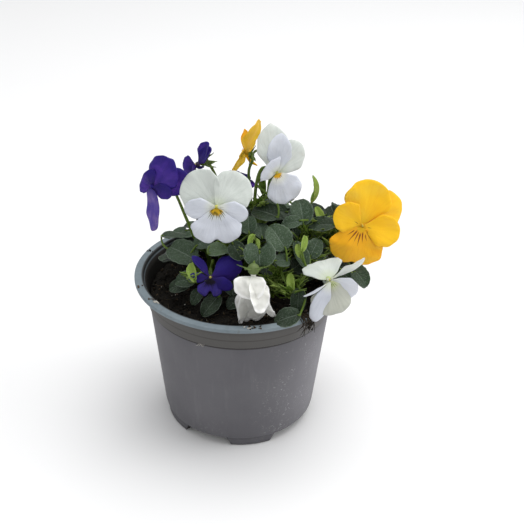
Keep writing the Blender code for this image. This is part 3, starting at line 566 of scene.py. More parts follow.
# %% Feet
def add_foot(piece, middle, finish):
    """One foot: a rounded section spun through an arc, its ends slanted."""
    bm = scrap()[0]
    inner = FOOT_RADIUS - FOOT_WIDTH
    top = FLOOR_Z + 0.8
    corner = FOOT_CORNER
    section = [(inner, top), *arc_section((inner + corner, corner), corner, 180, 270, 4),
               *arc_section((FOOT_RADIUS - corner, corner), corner, 270, 360, 4),
               (FOOT_RADIUS + corner, top)]
    face = bm.faces.new([bm.verts.new((radius, 0.0, z)) for radius, z in section])
    bmesh.ops.spin(bm, geom=[face], axis=(0, 0, 1), cent=(0, 0, 0), steps=FOOT_STEPS,
                   angle=math.radians(FOOT_SPAN))
    angles = {vert: math.atan2(vert.co.y, vert.co.x) for vert in bm.verts}
    centre = (min(angles.values()) + max(angles.values())) / 2
    half = math.radians(FOOT_SPAN / 2)
    for vert, angle in angles.items():
        low = max(1 - vert.co.z / FLOOR_Z, 0.0)
        narrow = 1 - low * NOTCH_SLANT / FOOT_RADIUS / half
        angle = (angle - centre) * narrow + math.radians(middle)
        radius = vert.co.xy.length
        vert.co.x, vert.co.y = radius * math.cos(angle), radius * math.sin(angle)
    piece.add(bm, finish)


for index in range(FOOT_PAIRS):
    first = -90 + FIRST_FOOT + index * 360.0 / FOOT_PAIRS + FOOT_SPAN / 2
    add_foot(pot, first, POT_PLASTIC)
    add_foot(pot, first + FOOT_SPAN + NARROW_NOTCH, POT_PLASTIC)
pot_object = pot.make("pot_plastic", "pot")


# %% Drain holes
def cut_holes(obj, places, radius, depth):
    """Cut round holes and keep the result as the object's own mesh."""
    drill = bmesh.new()
    for place in places:
        made = bmesh.ops.create_cone(drill, cap_ends=True, segments=DRAIN_SIDES,
                                     radius1=radius, radius2=radius, depth=depth)["verts"]
        bmesh.ops.translate(drill, verts=made, vec=place)
    drill.transform(TO_METRES)
    cutter = add_object("drill", mesh_of(drill, "drill"))
    hole = obj.modifiers.new("holes", "BOOLEAN")
    hole.operation = "DIFFERENCE"
    hole.object = cutter
    hole.solver = "EXACT"
    bpy.context.view_layer.update()
    cut = bpy.data.meshes.new_from_object(obj.evaluated_get(
        bpy.context.evaluated_depsgraph_get()))
    obj.modifiers.clear()
    obj.data = cut
    bpy.data.objects.remove(cutter, do_unlink=True)
    return len(cut.polygons)


drains = [heading(DRAIN_START + 360 / DRAINS * k, 0) * DRAIN_RING
          + lift(FLOOR_Z + FLOOR_THICKNESS / 2) for k in range(DRAINS)]
print("pot with drain holes:", cut_holes(pot_object, drains, DRAIN_RADIUS, 6.0), "faces")

# %% [markdown]
# ## The soil
#
# Potting soil is peat, bark and coir: a dark crumbly mass with reddish fibres, a few bark
# chips and white specks. A turned plug gives the mass, noise lifts its top, and over two
# thousand small lumps and some hundred strands break up the outline. Each lump is only a
# coarse ball, because there are so many.

# %% Soil surface
SOIL_EDGE_Z = 81.0
SOIL_CROWN = 3.0
SOIL_RADIUS = 51.0
SOIL_STEPS = 120
SOIL_RINGS = 38
SOIL_LIP_Z = 90.0
CRUMBS = 2200
FIBRES = 420
WHITE_SPECKS = 46
BARK_CHIPS = 26
SEED = 11


def soil_height(x, y):
    """Height of the soil's mean surface."""
    return SOIL_EDGE_Z + SOIL_CROWN * (1 - (x * x + y * y) / SOIL_RADIUS ** 2)


def soil_top(x, y):
    """Height of the crumbly surface."""
    place = Vector((x, y, 0.0))
    swell = noise.noise(place * 0.07) * 1.6 + noise.noise(place * 0.21) * 1.3
    return soil_height(x, y) + swell + noise.turbulence(place * 0.45, 3, False) * 1.5 - 0.8


def soil_finish():
    """Nearly black peat; the tone of a crumb or strand takes it to red-brown."""
    soil = Finish("potting_soil", {"Specular IOR Level": 0.2})
    place = soil.place()
    grain = soil.noise(place, 700, 4, 0.7)
    patch = soil.noise(place, 120, 3)
    soil.colour = soil.mix(tint(12, 11, 9), tint(46, 41, 33), soil.step(grain, 0.35, 0.75))
    soil.coat(tint(22, 20, 17), patch * 0.7)
    soil.coat(tint(96, 82, 64), soil.step(soil.tone(), 0.55, 1.0) * 0.7)
    return soil.done(grain + patch, 0.5, 0.8 + grain * 0.2)


def speck_finish(name, first, second):
    """A pale dry scrap, mottled."""
    speck = Finish(name, {"Roughness": 0.85})
    mottle = speck.noise(speck.place(), 1500, 3, 0.6)
    speck.colour = speck.mix(first, second, mottle)
    return speck.done(mottle, 0.2)


POTTING_SOIL = soil_finish()
PERLITE = speck_finish("white_specks", tint(206, 203, 196), tint(164, 160, 150))
BARK = speck_finish("bark_chips", tint(98, 80, 62), tint(48, 39, 31))

# %% The plug, its crumbs and its fibres
soil = Piece("soil_bed")
plug_side = BASE_RADIUS - WALL - 0.8
plug_floor = FLOOR_TOP + 0.3
profile = [(SOIL_RADIUS * ((k / SOIL_RINGS) ** 0.8), SOIL_LIP_Z) for k in range(SOIL_RINGS)]
profile += [(SOIL_RADIUS, SOIL_LIP_Z), (SOIL_RADIUS - 0.2, 74.0),
            (plug_side, plug_floor + 2.0), (plug_side - 1.5, plug_floor), (0.0, plug_floor)]
plug = turn_section(profile, SOIL_STEPS)
for vert in plug.verts:
    if vert.co.z > SOIL_LIP_Z - 1:
        vert.co.z = soil_top(vert.co.x, vert.co.y)
soil.add(plug, POTTING_SOIL)

rng = random.Random(SEED)


def spot_on_soil(rng, reach=50.0):
    """A random point of the soil's surface."""
    out = heading(rng.uniform(0, 360), 0) * reach * math.sqrt(rng.random())
    return Vector((out.x, out.y, soil_top(out.x, out.y)))


def strand(piece, start, length, radius, finish, rng, tone):
    """A short bent fibre that lies flat."""
    azimuth = rng.uniform(0, 360)
    points = [start]
    for _ in range(4):
        azimuth += rng.uniform(-38, 38)
        points.append(points[-1] + heading(azimuth, rng.uniform(-14, 14)) * length / 4)
    sweep(piece, points, (radius, radius, radius * 0.4), 3, finish, (tone, tone))


for _ in range(CRUMBS):
    size = 0.35 + 1.1 * rng.random() ** 3
    spot = spot_on_soil(rng) + lift(size * 0.3)
    crumb(soil, spot, size, POTTING_SOIL, rng, rng.random() ** 2)
for _ in range(FIBRES):
    spot = spot_on_soil(rng, 48.0) + lift(0.3)
    strand(soil, spot, rng.uniform(2.5, 9.0), rng.uniform(0.1, 0.26), POTTING_SOIL, rng,
           rng.uniform(0.5, 1.0))
for count, height, sizes, finish in ((WHITE_SPECKS, 0.4, (0.3, 0.6), PERLITE),
                                     (BARK_CHIPS, 0.5, (0.6, 1.4), BARK)):
    for _ in range(count):
        crumb(soil, spot_on_soil(rng) + lift(height), rng.uniform(*sizes), finish, rng)
soil.make("potting_soil", "soil")

# %% [markdown]
# ## Dirt on the rim
#
# Dry crumbs have caught on the flat rim, old roots hang over it at the front, and a pale
# fibre clings to the groove. They are small, but a bare clean rim would look new.


# %% Crumbs and roots on the rim
HANGING_ROOTS = 26
ROOT_CRUMBS = 22
FIBRE_AZIMUTH = -117


def rim_dirt():
    """Small clumps on the rim, roots that hang over it, and a fibre on the groove."""
    rng = random.Random(SEED + 1)
    dirt = Piece("rim_dirt")
    clumps = (((-55.6, -17.5), 9, 3.0, BARK), ((-45.5, -33.6), 12, 4.5, PERLITE),
              ((-48.0, -30.5), 6, 3.0, BARK), ((-54.5, 22.8), 9, 2.6, POTTING_SOIL),
              ((8.4, -57.4), 16, 6.0, POTTING_SOIL), ((5.5, -57.6), 6, 4.0, PERLITE))
    for (x, y), count, spread, finish in clumps:
        for _ in range(count):
            shift = Vector((rng.gauss(0, 0.35), rng.gauss(0, 0.2), 0)) * spread
            place = Vector((x, y, 0)) + shift
            radius = min(max(place.length, RIM_INNER + 0.6), RIM_RADIUS - 0.8)
            place = place.normalized() * radius + lift(POT_HEIGHT + 0.15)
            crumb(dirt, place, rng.uniform(0.25, 0.75), finish, rng, rng.random())
    for _ in range(HANGING_ROOTS):
        start = heading(rng.uniform(-56, -49), 0) * rng.uniform(53.0, 59.0)
        start.z = POT_HEIGHT + 0.3
        out = heading(math.degrees(math.atan2(start.y, start.x)) + rng.uniform(-3, 3), 0)
        fall = rng.uniform(2.0, 13.0)
        over_rim = out * (RIM_RADIUS + 0.5) + lift(POT_HEIGHT + 0.2)
        sway = Vector((rng.uniform(-1.6, 1.6), rng.uniform(-0.6, 0.6), 0))
        hang = out * (RIM_RADIUS + 0.9) + sway + lift(POT_HEIGHT - fall * 0.5)
        tip = out * (RIM_RADIUS - 1.0) + sway * 2 + lift(POT_HEIGHT - fall)
        route = smooth_route((start, over_rim, hang, tip), 4)
        sweep(dirt, route, (0.3, 0.22, 0.1), 4, POTTING_SOIL, (0.8, 0.6))
    for _ in range(ROOT_CRUMBS):
        out = heading(rng.gauss(-52.5, 1.3), 0) * (RIM_RADIUS + 0.9)
        place = out + lift(POT_HEIGHT - rng.uniform(0, 8))
        crumb(dirt, place, rng.uniform(0.3, 0.8), POTTING_SOIL, rng, rng.uniform(0.3, 0.8))
    for turn in range(3):
        azimuth, out = FIBRE_AZIMUTH + turn, body_radius(73)
        points = [heading(azimuth, 0) * (out + 0.2) + lift(72.5)]
        for k in range(5):
            away = heading(azimuth + (k + 1) * 1.1, 0) * (out + 0.25 + k * 0.1)
            points.append(away + lift(72.5 + math.sin(k * 1.7 + turn) * 1.4 + k))
        sweep(dirt, smooth_route(points, 3), (0.1, 0.07), 3, PERLITE)
    return dirt.make("potting_soil")


rim_dirt()


# %% [markdown]
# ## Petals
#
# A violet has five petals: two upper ones, two at the sides, and a lower one that ends in a
# spur behind the flower. Each is a flat square grid pressed into an oval with a narrow claw,
# arched, and pleated a little towards the throat. A skin 0.3 mm thick closes it. The table
# starts from the solid model's flowers, and some petals are fitted closer to the photograph.

# %% The flowers' table
def petal(angle, length, width, tilt, layer, arch=0.0, cup=0.0, claw=0.32, notch=0.0,
          ruffle=0.0, twist=0.0):
    """One petal: its clock angle seen from the front, its size, its pose and its shape."""
    return {"angle": angle, "length": length, "width": width, "tilt": tilt,
            "twist": twist, "arch": arch, "cup": cup, "layer": layer,
            "notch": notch, "ruffle": ruffle, "claw": max(claw, 0.5) if notch else claw}


def flower(colour, eye, face, petals, **more):
    """One flower: its colour, the place of its eye, its azimuth, elevation and roll."""
    return {"colour": colour, "eye": eye, "face": face, "petals": petals, **more}


# A petal's plain numbers are its angle, length, width, tilt, layer, arch, cup and claw. In
# an open flower the two upper petals come first, then the two at the sides and the lower one.
BLOOMS = {
    "white_front": flower("white", (-13, -22, 143), (-93, 22, 2), (
        petal(43, 23.5, 23.5, -6, -0.9, 10, 1.5, 0.5),
        petal(-43, 22.5, 22.5, -8, -0.5, 10, 1.5, 0.5),
        petal(92, 17, 11, 6, 0.3, 14, claw=0.6),
        petal(-104, 17, 11, 6, 0.4, 14, claw=0.6),
        petal(180, 19.5, 27, 4, 1.0, 18, notch=3, ruffle=0.5))),
    "purple_left": flower("purple", (-48.6, -8, 147.3), (-122, 2, 0), (
        petal(-33, 20, 19.5, 2, -0.9, 14, -2, 0.9, notch=-0.8),
        petal(-73, 20.5, 16, -26, -0.5, 14, -2),
        petal(58, 8, 18, 6, -0.6, 10, claw=0.9),
        petal(-96, 12, 9.5, -4, 0.4, 10, claw=0.5),
        petal(186, 24, 8.5, 2, 1.0, -6, claw=1.25, ruffle=0.6)),
        sepals=(7.5, 4.0), hidden=True, finish="purple_plain"),
    "purple_back": flower("purple", (-26.2, 16, 149.8), (-152, -6, -8), (
        petal(4, 13.5, 11, -34, -0.9, -6, 2),
        petal(-14, 12.5, 9.5, -38, -0.5, -6, 2),
        petal(123, 10.5, 12, 28, 0.3),
        petal(-95, 9, 9, 50, 0.4),
        petal(180, 13, 14, 20, 1.0, -10, notch=1)),
        sepals=(5.0, 7.0), spur=0.6, arc=((0, 0.5, -3.2), (0, 0.7, -1.6))),
    "yellow_top": flower("yellow", (1, 20, 157.3), (148, 10, 0), (
        petal(6, 19.5, 18, -4, -0.9, cup=1, notch=-1.5),
        petal(0, 12.5, 8.5, 16, -0.5, cup=1, notch=-1),
        petal(84, 11, 8, 6, 0.3),
        petal(-84, 7, 6, -4, 0.4),
        petal(-178, 15.5, 13, 16, 1.0, claw=0.4)),
        arc=((2.6, -2.0, -3.0), (1.6, -0.8, -1.6)), kinds=(0, 0, 0, 1, 0)),
    "white_top": flower("white", (19, 0, 153), (-84, 18, 0), (
        petal(4, 25.5, 18, -16, -1.1, -10, 2, notch=-1.2),
        petal(-8, 21, 13.5, 4, -0.2, -10, 2, notch=-0.6),
        petal(50, 11, 17, 44, 0.5, -10, claw=0.8),
        petal(-42, 21, 17, -2, -0.6, 8, claw=0.55),
        petal(-153, 18, 19.5, 2, 1.0, 14, claw=0.7, notch=1, ruffle=0.4)),
        finish="white_small", kinds=(0, 1, 1, 0, 2)),
    "yellow_right": flower("yellow", (66, -13, 128), (-80, 18, 0), (
        petal(-16, 25.5, 27, -4, -0.6, -12, 2, ruffle=0.5),
        petal(-65, 28.5, 23, -14, -1.2, 4, 1, ruffle=0.5),
        petal(54, 18, 17.5, 10, 0.3, 8, 1),
        petal(-105, 21.5, 18, 8, 0.4, 8, 1),
        petal(163, 22, 31, 6, 1.0, 22, claw=0.8, notch=2, ruffle=0.8))),
    "white_low": flower("white", (47, -42, 111), (-74, 2, 0), (
        petal(12, 18.5, 22, -54, 0.1, 60, 1, 0.7),
        petal(-79, 24, 10, -10, 0.3, 10, twist=36),
        petal(154, 23, 10.5, 12, 2.4, 10, claw=0.4, twist=12),
        petal(-122, 18, 13, 4, 0.4, -6, 2),
        petal(-172, 18.5, 23, 12, 1.0, -20, -3, notch=0.5),
        petal(124, 16, 6, 8, 1.8, 16, claw=0.6, twist=-52)),
        sepals=(2.2, 3.2), arc=((0, -1.8, -8), (0, -2.7, -4)), finish="white_bare"),
    "white_wilted": flower("white", (6.8, -42, 112), (-92, -66, 180), (
        petal(-166, 14, 17, 14, 0.3, -104, -1, 0.9),
        petal(154, 21, 11.5, 40, 0.0, -50, -1, 0.7),
        petal(-42, 28, 8.5, 73, 0.3, 4, claw=0.4),
        petal(66, 25, 12, 66, 0.4, 2, claw=0.3),
        petal(-4, 28, 18, 70, 1.2, 2, claw=0.5, notch=2)),
        spur=0.15, crumple=0.7, finish="wilted", hidden=True, sepals=(9.5, 1.5), cap=3.2,
        arc=((0, 6, -5), (0, 3, -4.8))),
    "purple_low": flower("purple", (-16, -32, 106), (-88, 24, 0), (
        petal(40, 15, 6, -10, -0.9, cup=2, twist=50),
        petal(-65, 20, 14, -10, -0.5, 14, -2),
        petal(88, 12, 5.5, 4, 0.3, 14),
        petal(-116, 13, 7, 6, 0.4, 14),
        petal(178, 11.5, 14, -4, 1.0, 24, notch=4))),
    "purple_far": flower("purple", (-2, 36, 131.5), (80, 20, 0), (
        petal(26, 12, 11, -10, -0.9, cup=2),
        petal(-26, 12, 11, -10, -0.5, cup=2),
        petal(95, 10, 8, 4, 0.3),
        petal(-95, 10, 8, 4, 0.4),
        petal(180, 11, 12, 4, 1.0, 18, notch=2))),
}
print("flowers:", ", ".join(BLOOMS))


# %% A petal's shape
def face_frame(place, azimuth, elevation, roll):
    """Frame whose z axis looks out of the face and whose y axis is its upward side."""
    out = heading(azimuth, elevation)
    up = (Vector((0, 0, 1)) - out * out.z).normalized()
    turn = Matrix((up.cross(out), up, out)).transposed().to_4x4()
    return Matrix.Translation(Vector(place)) @ turn @ rotation(roll, "Z")


def bend(x, y, z, length, arch):
    """Bend a blade that lies along +Y into an arc, its tip away from +Z."""
    angle = math.radians(arch)
    if abs(angle) < 0.01:
        return Vector((x, y, z))
    radius = length / angle
    turn = y / radius
    return Vector((x, (radius + z) * math.sin(turn), (radius + z) * math.cos(turn) - radius))


MAP_SPAN = 40.0
PLEAT, PLEATS = 0.09, 15
FOLD, FOLDS = 0.3, 5
LIP_CURL = 0.7


def petal_point(u, v, shape, salt, crumple):
    """Map a square on to a petal: its place, its place on its own flat map, and its rim."""
    across = u * math.sqrt(1 - v * v / 2)
    along = v * math.sqrt(1 - u * u / 2)
    share = (along + 1) / 2
    half = shape["width"] / 2
    x = across * half * (shape["claw"] + (1 - shape["claw"]) * ease(share / 0.5))
    y = share * shape["length"]
    y -= shape["notch"] * math.exp(-(across / 0.22) ** 2) * ease((share - 0.4) / 0.6)
    edge = min(across * across + along * along, 1.0)
    wave = math.sin(5 * math.atan2(across, along + 0.001) + 0.6)
    z = shape["cup"] * (x / half) ** 2 + shape["ruffle"] * wave * edge * ease(share / 0.5)
    flat = Vector((x, y, salt * 31.0))
    swing = math.atan2(x, y + 3.0)
    open_part = ease(share / 0.45)
    z += PLEAT * math.cos(swing * PLEATS + salt * 5) * open_part * (1 - edge)
    z += FOLD * math.cos(swing * FOLDS + salt * 9) * open_part * (1 - 0.4 * edge)
    z += noise.noise(flat * 0.09) * 1.5 * open_part
    z += noise.noise(flat * 0.27) * 0.6 * open_part * edge
    z -= LIP_CURL * edge ** 5 * open_part
    rim = 1 + 0.025 * math.sin(9 * math.atan2(across, along + 0.001) + salt * 7) * edge ** 3
    if crumple:
        z += crumple * (abs(noise.noise(flat * 0.13)) * 3.2 - 1.0) * open_part
        z += crumple * noise.noise(flat * 0.33) * 1.1 * open_part
    place = bend(x * rim, y, z, shape["length"], shape["arch"])
    return place, (0.5 + x / MAP_SPAN, y / MAP_SPAN), edge


def petal_frame(shape):
    """From a petal's own frame, its claw at the origin, to the flower's frame."""
    place = Matrix.Translation((0.0, 0.3, shape["layer"] - 1.6))
    return (rotation(shape["angle"], "Z") @ place @ rotation(shape["tilt"], "X")
            @ rotation(shape["twist"], "Y"))


def lay_blade(piece, cells, point_of, form, matrix, finish, tone, thickness):
    """A thin blade: a grid that point_of moves by the blade's form, then given a skin."""
    bm, chart, tone_of = scrap()
    bmesh.ops.create_grid(bm, x_segments=cells[0], y_segments=cells[1], size=1.0)
    mapped = {}
    for vert in bm.verts:
        place, mapped[vert], edge = point_of(vert.co.x, vert.co.y, *form)
        vert.co = matrix @ place
        vert[tone_of] = edge if tone is None else tone
    for face in bm.faces:
        for loop in face.loops:
            loop[chart].uv = mapped[loop.vert]
    spots = [vert.co.copy() for vert in bm.verts]
    bmesh.ops.solidify(bm, geom=bm.faces[:], thickness=thickness)
    piece.add(bm, finish)
    return spots


# %% [markdown]
# ## Petal finishes
#
# A petal's surface is velvety: a thin skin of domed cells over a translucent blade. Fine
# veins fan out from the throat, the lower petal has a yellow eye, and dark lines called
# honey guides run out of it. All of these follow the petal's map, where the claw is at the
# origin: distance from it and angle about it give the fan.


# %% Petal colours
def petal_finish(name, base, deep, glow, eye=None, lines=None):
    """A petal. The eye is (colour, radius); lines are (colour, reach, width, spacing, fan)."""
    skin = Finish(name, {**flesh(0.22, 0.0012, 0.2), "Sheen Weight": 0.03})
    chart = skin.blade_map()
    across = (skin.part(chart, "X") - 0.5) * MAP_SPAN
    along = skin.part(chart, "Y") * MAP_SPAN
    reach = (across * across + along * along).math("SQRT")
    swing = across.math("ARCTAN2", along + 1.5)
    tone = skin.tone()
    fan = skin.node("CombineXYZ", {0: swing * 16, 1: reach * 0.1, 2: tone * 23})
    veins = skin.step(skin.noise(fan, 1.0, 4, 0.65), 0.4, 0.68)
    cloud = skin.noise(skin.place(), 95, 3)
    skin.colour = skin.mix(base, deep, veins * 0.3 + cloud * 0.3)
    skin.coat(glow, skin.fade(reach, 1.5, 8.0) * 0.55)
    ragged = reach + (skin.noise(fan, 0.8, 2) - 0.5) * 2.5
    if eye:
        skin.coat(eye[0], skin.fade(ragged, eye[1] * 0.7, eye[1]))
    if lines:
        ink, length, width, spacing, spread = lines
        index = swing / spacing + 50.5
        number = index.math("FLOOR")
        chance = skin.node("TexWhiteNoise", {"W": number + tone * 40}, 0,
                           noise_dimensions="1D")
        off = abs(index.math("FRACT") - 0.5) * spacing * (reach + 1.5)
        far = length * (0.62 + chance * 0.38)
        half = (1 - reach / far * (reach / far)) * width
        stroke = skin.fade(off - half, -0.06, 0.1)
        start = width * 3 + (chance * 7.3).math("FRACT") * length * 0.28
        stroke = stroke * skin.step(reach - start, 0.0, 1.4)
        stroke = stroke * skin.fade(abs(swing), spread, spread + 0.06)
        skin.coat(ink, stroke)
    fine = skin.noise(skin.place(), 2200, 2)
    return skin.done(veins * 0.7 + fine * 0.3, 0.1, 0.5 + cloud * 0.2)


WHITE = (tint(208, 214, 208), tint(184, 192, 185))
COOL_WHITE = (tint(212, 216, 226), tint(192, 197, 210))
YELLOW = (tint(249, 192, 24), tint(240, 168, 14))
ORANGE = (tint(243, 172, 20), tint(228, 140, 12))
PURPLE = (tint(34, 17, 114), tint(21, 9, 80))
VIOLET = (tint(62, 50, 146), tint(40, 29, 110))
GUIDE_DARK = tint(38, 22, 40)
GUIDE_BROWN = tint(116, 34, 8)
GUIDE_OLIVE = tint(66, 60, 14)


def wilted_finish():
    """A collapsed petal, thin as wet tissue: grey as painted shade, with a painted highlight on
    its rim.
    """
    skin = Finish("petal_wilted", flesh(0.3, 0.0015, 0.3))
    cloud = skin.noise(skin.place(), 260, 4, 0.6)
    # Painted light: the whiter rim is a painted highlight, and the greyer middle is painted
    # shade.
    rim = skin.step(skin.tone() + (cloud - 0.5) * 0.3, 0.62, 0.9)
    skin.colour = skin.mix(tint(222, 222, 213), tint(238, 238, 232), cloud)
    skin.coat(tint(250, 250, 247), rim)
    return skin.done(cloud, 0.4, 0.45 + cloud * 0.25)


PALE_GLOW, COOL_GLOW = tint(206, 216, 180), tint(222, 226, 196)
PETAL_ROWS = {
    "white_small": (
        (*WHITE, PALE_GLOW), (*COOL_WHITE, COOL_GLOW),
        (*COOL_WHITE, tint(236, 232, 190), (tint(228, 168, 24), 3.0),
         (GUIDE_DARK, 4.4, 0.2, 0.2, 0.5))),
    "purple_plain": (
        (*PURPLE, tint(36, 18, 96)), (*PURPLE, tint(28, 14, 84)), (*VIOLET, tint(44, 32, 120))),
    "white_bare": (
        (*WHITE, PALE_GLOW), (*COOL_WHITE, COOL_GLOW),
        (tint(184, 186, 174), tint(158, 160, 148), tint(186, 198, 110), None,
         (tint(110, 132, 40), 5.5, 0.3, 0.2, 0.6))),
    "white": (
        (*WHITE, PALE_GLOW),
        (*COOL_WHITE, COOL_GLOW, None, (tint(120, 110, 130), 4.6, 0.13, 0.24, 0.42)),
        (*COOL_WHITE, tint(198, 206, 168), (tint(204, 160, 26), 4.6),
         (GUIDE_OLIVE, 7.6, 0.3, 0.15, 0.8))),
    "yellow": (
        (*YELLOW, tint(228, 188, 30)),
        (*YELLOW, tint(232, 180, 24), None, (GUIDE_BROWN, 6.0, 0.3, 0.3, 0.2)),
        (*ORANGE, tint(226, 160, 16), (tint(226, 172, 16), 3.2),
         (GUIDE_BROWN, 12.0, 0.5, 0.25, 0.8))),
    "purple": (
        (*PURPLE, tint(40, 20, 90)), (*PURPLE, tint(24, 10, 52)),
        (*VIOLET, tint(22, 10, 50), (tint(14, 8, 26), 4.2),
         (tint(12, 6, 24), 7.0, 0.3, 0.16, 0.6))),
}
# Each row gives the finishes of the upper, the side and the lower petals.
PETALS = {name: [petal_finish("petal_" + name + end, *row)
                 for end, row in zip(("", "_side", "_lower"), rows)]
          for name, rows in PETAL_ROWS.items()}
PETALS["wilted"] = [wilted_finish()] * 3


def throat_finish(name, first, second):
    """The fleshy middle of a flower."""
    throat = Finish(name, flesh(0.2, 0.001))
    mottle = throat.noise(throat.place(), 1300, 3, 0.6)
    throat.colour = throat.mix(first, second, mottle)
    return throat.done(mottle, 0.15, 0.42 + mottle * 0.2)


STIGMA = throat_finish("stigma", tint(208, 198, 84), tint(162, 152, 48))
BEARDS = {"white": throat_finish("beard", tint(240, 240, 226), tint(220, 222, 190)),
          "yellow": throat_finish("beard_yellow", tint(236, 186, 44), tint(222, 166, 24))}
HEARTS = {"white": throat_finish("throat_pale", tint(214, 206, 90), tint(170, 180, 70)),
          "white_bare": throat_finish("throat_green", tint(206, 214, 170), tint(140, 166, 70)),
          "yellow": throat_finish("throat_yellow", tint(226, 178, 26), tint(190, 158, 26)),
          "purple": throat_finish("throat_dark", tint(60, 40, 70), tint(30, 18, 44))}
print("petal finishes:", sum(len(kinds) for kinds in PETALS.values()))

# %% [markdown]
# ## Flowers
#
# Behind the five petals sits the hub with its spur; in front of it the small knob of the
# stigma shows, between two tufts of short hairs at the foot of the side petals. Everything
# that is made is also noted in TAKEN, so that leaves added later can keep clear of it.

# %% Build every flower
PETAL_SKIN = 0.28
PETAL_CELLS = (26, 26)
BEARD_HAIRS = 16
SPUR = ((0.0, -1.2, -2.0), (0.0, -3.2, -4.0), (0.0, -4.4, -6.0), (0.0, -5.0, -10.2))
TAKEN = []


def flower_frame(bloom):
    """A flower's frame, its eye at the origin."""
    return face_frame(bloom["eye"], *bloom["face"])


def add_petal(piece, shape, frame, finish, salt, crumple):
    """Lay one petal and note where it is."""
    tone = None if crumple else salt % 1.0
    spots = lay_blade(piece, PETAL_CELLS, petal_point, (shape, salt, crumple),
                      frame @ petal_frame(shape), finish, tone, PETAL_SKIN)
    TAKEN.extend(spots[::5])


def add_beard(piece, frame, finish, rng):
    """Two tufts of short hairs that lean over the throat."""
    for hand in (-1, 1):
        for _ in range(BEARD_HAIRS):
            root = Vector((hand * rng.uniform(0.7, 1.9), rng.uniform(0.3, 1.9), -0.4))
            tip = root + Vector((-hand * rng.uniform(0.1, 0.6), rng.uniform(-0.7, 0.1),
                                 rng.uniform(0.7, 1.3)))
            sweep(piece, [frame @ root, frame @ root.lerp(tip, 0.6), frame @ tip],
                  (0.11, 0.08, 0.02), 3, finish)


def add_ball(piece, frame, place, radius, finish, dent=0.0):
    """A ball at a place of a frame, its front dented."""
    bm = scrap()[0]
    bmesh.ops.create_uvsphere(bm, u_segments=16, v_segments=10, radius=radius)
    for vert in bm.verts:
        hollow = dent * ease(1 - (vert.co / radius - Vector((0, -0.4, 0.9))).length / 0.6)
        vert.co = frame @ (vert.co * (1 - hollow) + Vector(place))
    piece.add(bm, finish)


def build_flower(key, bloom, rng):
    """One flower: petals, hub, spur, stigma and beard."""
    frame = flower_frame(bloom)
    piece = Piece("flower_" + key)
    kinds = PETALS[bloom.get("finish", bloom["colour"])]
    for index, shape in enumerate(bloom["petals"]):
        kind = bloom.get("kinds", (0, 0, 1, 1, 2, 1))[index]
        add_petal(piece, shape, frame, kinds[kind], rng.uniform(0, 9), bloom.get("crumple", 0.0))
    hidden = bloom.get("hidden", False)
    heart = HEARTS.get(bloom.get("finish"), HEARTS[bloom["colour"]])
    add_ball(piece, frame, (0, 0, -2.3), 1.5, kinds[0] if hidden else heart)
    spur = [frame @ (Vector(point) * bloom.get("spur", 1.0)) for point in SPUR]
    sweep(piece, smooth_route(spur, 5), (1.0, 0.95, 0.9, 0.95, 0.8, 0.3), 12, kinds[0])
    if not hidden:
        add_ball(piece, frame, (0, 0.45, -0.6), 0.62, STIGMA, 0.45)
        if bloom["colour"] in BEARDS:
            add_beard(piece, frame, BEARDS[bloom["colour"]], rng)
    return piece.make("petal_" + bloom["colour"], "bloom_" + key)


rng = random.Random(SEED + 2)
for key, bloom in BLOOMS.items():
    build_flower(key, bloom, rng)

# %% [markdown]
# ## Leaves
#
# Horned violet leaves are oval, folded a little along the midrib, and edged with low round
# teeth. The blade is again a grid with a skin: its width follows an outline, its rim waves,
# and the tissue is quilted between the side veins. Leaves that show in the photograph are
# placed one by one; the tone is painted shade and light, from a dark leaf in shade (0) to a
# bright lit one (1).


# %% Leaf colours
GREEN_SOAK = (0.6, 1.0, 0.4)
SIDE_VEINS = 6.0
VEIN_SLANT = 2.1


def leaf_finish(name, dark, middle, bright, pale):
    """A grainy blue-green blade with a pale midrib, side veins and a pale thin rim, its tone
    painted shade and light.
    """
    leaf = Finish(name, flesh(0.08, 0.0008, 0.24, GREEN_SOAK))
    chart = leaf.blade_map()
    across = abs(leaf.part(chart, "X") - 0.5) * 2
    along = leaf.part(chart, "Y")
    tone = leaf.tone()
    cloud = leaf.noise(leaf.place(), 140, 4, 0.6)
    grain = leaf.noise(leaf.place(), 1250, 4, 0.75)
    # Painted shade and light: a low tone darkens a leaf as if it were in shade; a high tone
    # brightens it as if lit and shows more of its pale grain.
    leaf.colour = leaf.mix(dark, middle, leaf.step(tone + (cloud - 0.5) * 0.35, 0.0, 0.55))
    leaf.coat(bright, leaf.step(tone, 0.55, 1.0))
    leaf.coat(pale, leaf.step(grain, 0.49, 0.7) * (0.13 + tone * 0.48))
    rib = leaf.fade(across, 0.015, 0.06)
    wobble = (leaf.noise(leaf.place(), 300, 2) - 0.5) * 0.5
    side = (along * SIDE_VEINS - across * VEIN_SLANT + wobble).math("FRACT")
    side = leaf.fade(abs(side - 0.5), 0.02, 0.12) * leaf.fade(across, 0.5, 0.9)
    leaf.coat(pale, rib * 0.24 + side * 0.05)
    # The pale thin rim: partly a paler margin, partly a painted highlight.
    leaf.coat(pale, leaf.step(across, 0.93, 1.0) * 0.34)
    return leaf.done(grain * 0.5 - side * 0.5 - rib * 0.8 + cloud, 0.16,
                     0.36 + tone * 0.22 + grain * 0.2)


def stem_finish(name, green, fresh, brown):
    """A juicy stem, ridged lengthwise, tinged brown where the tone is high."""
    stem = Finish(name, flesh(0.1, 0.001, 0.3, GREEN_SOAK))
    streak = stem.noise(stem.node("Mapping", {0: stem.place(), 3: (900, 900, 70)}), 1, 3, 0.6)
    stem.colour = stem.mix(green, fresh, streak)
    stem.coat(brown, stem.step(stem.tone(), 0.45, 1.0) * (0.4 + streak * 0.5))
    return stem.done(streak, 0.12, 0.36 + streak * 0.2)


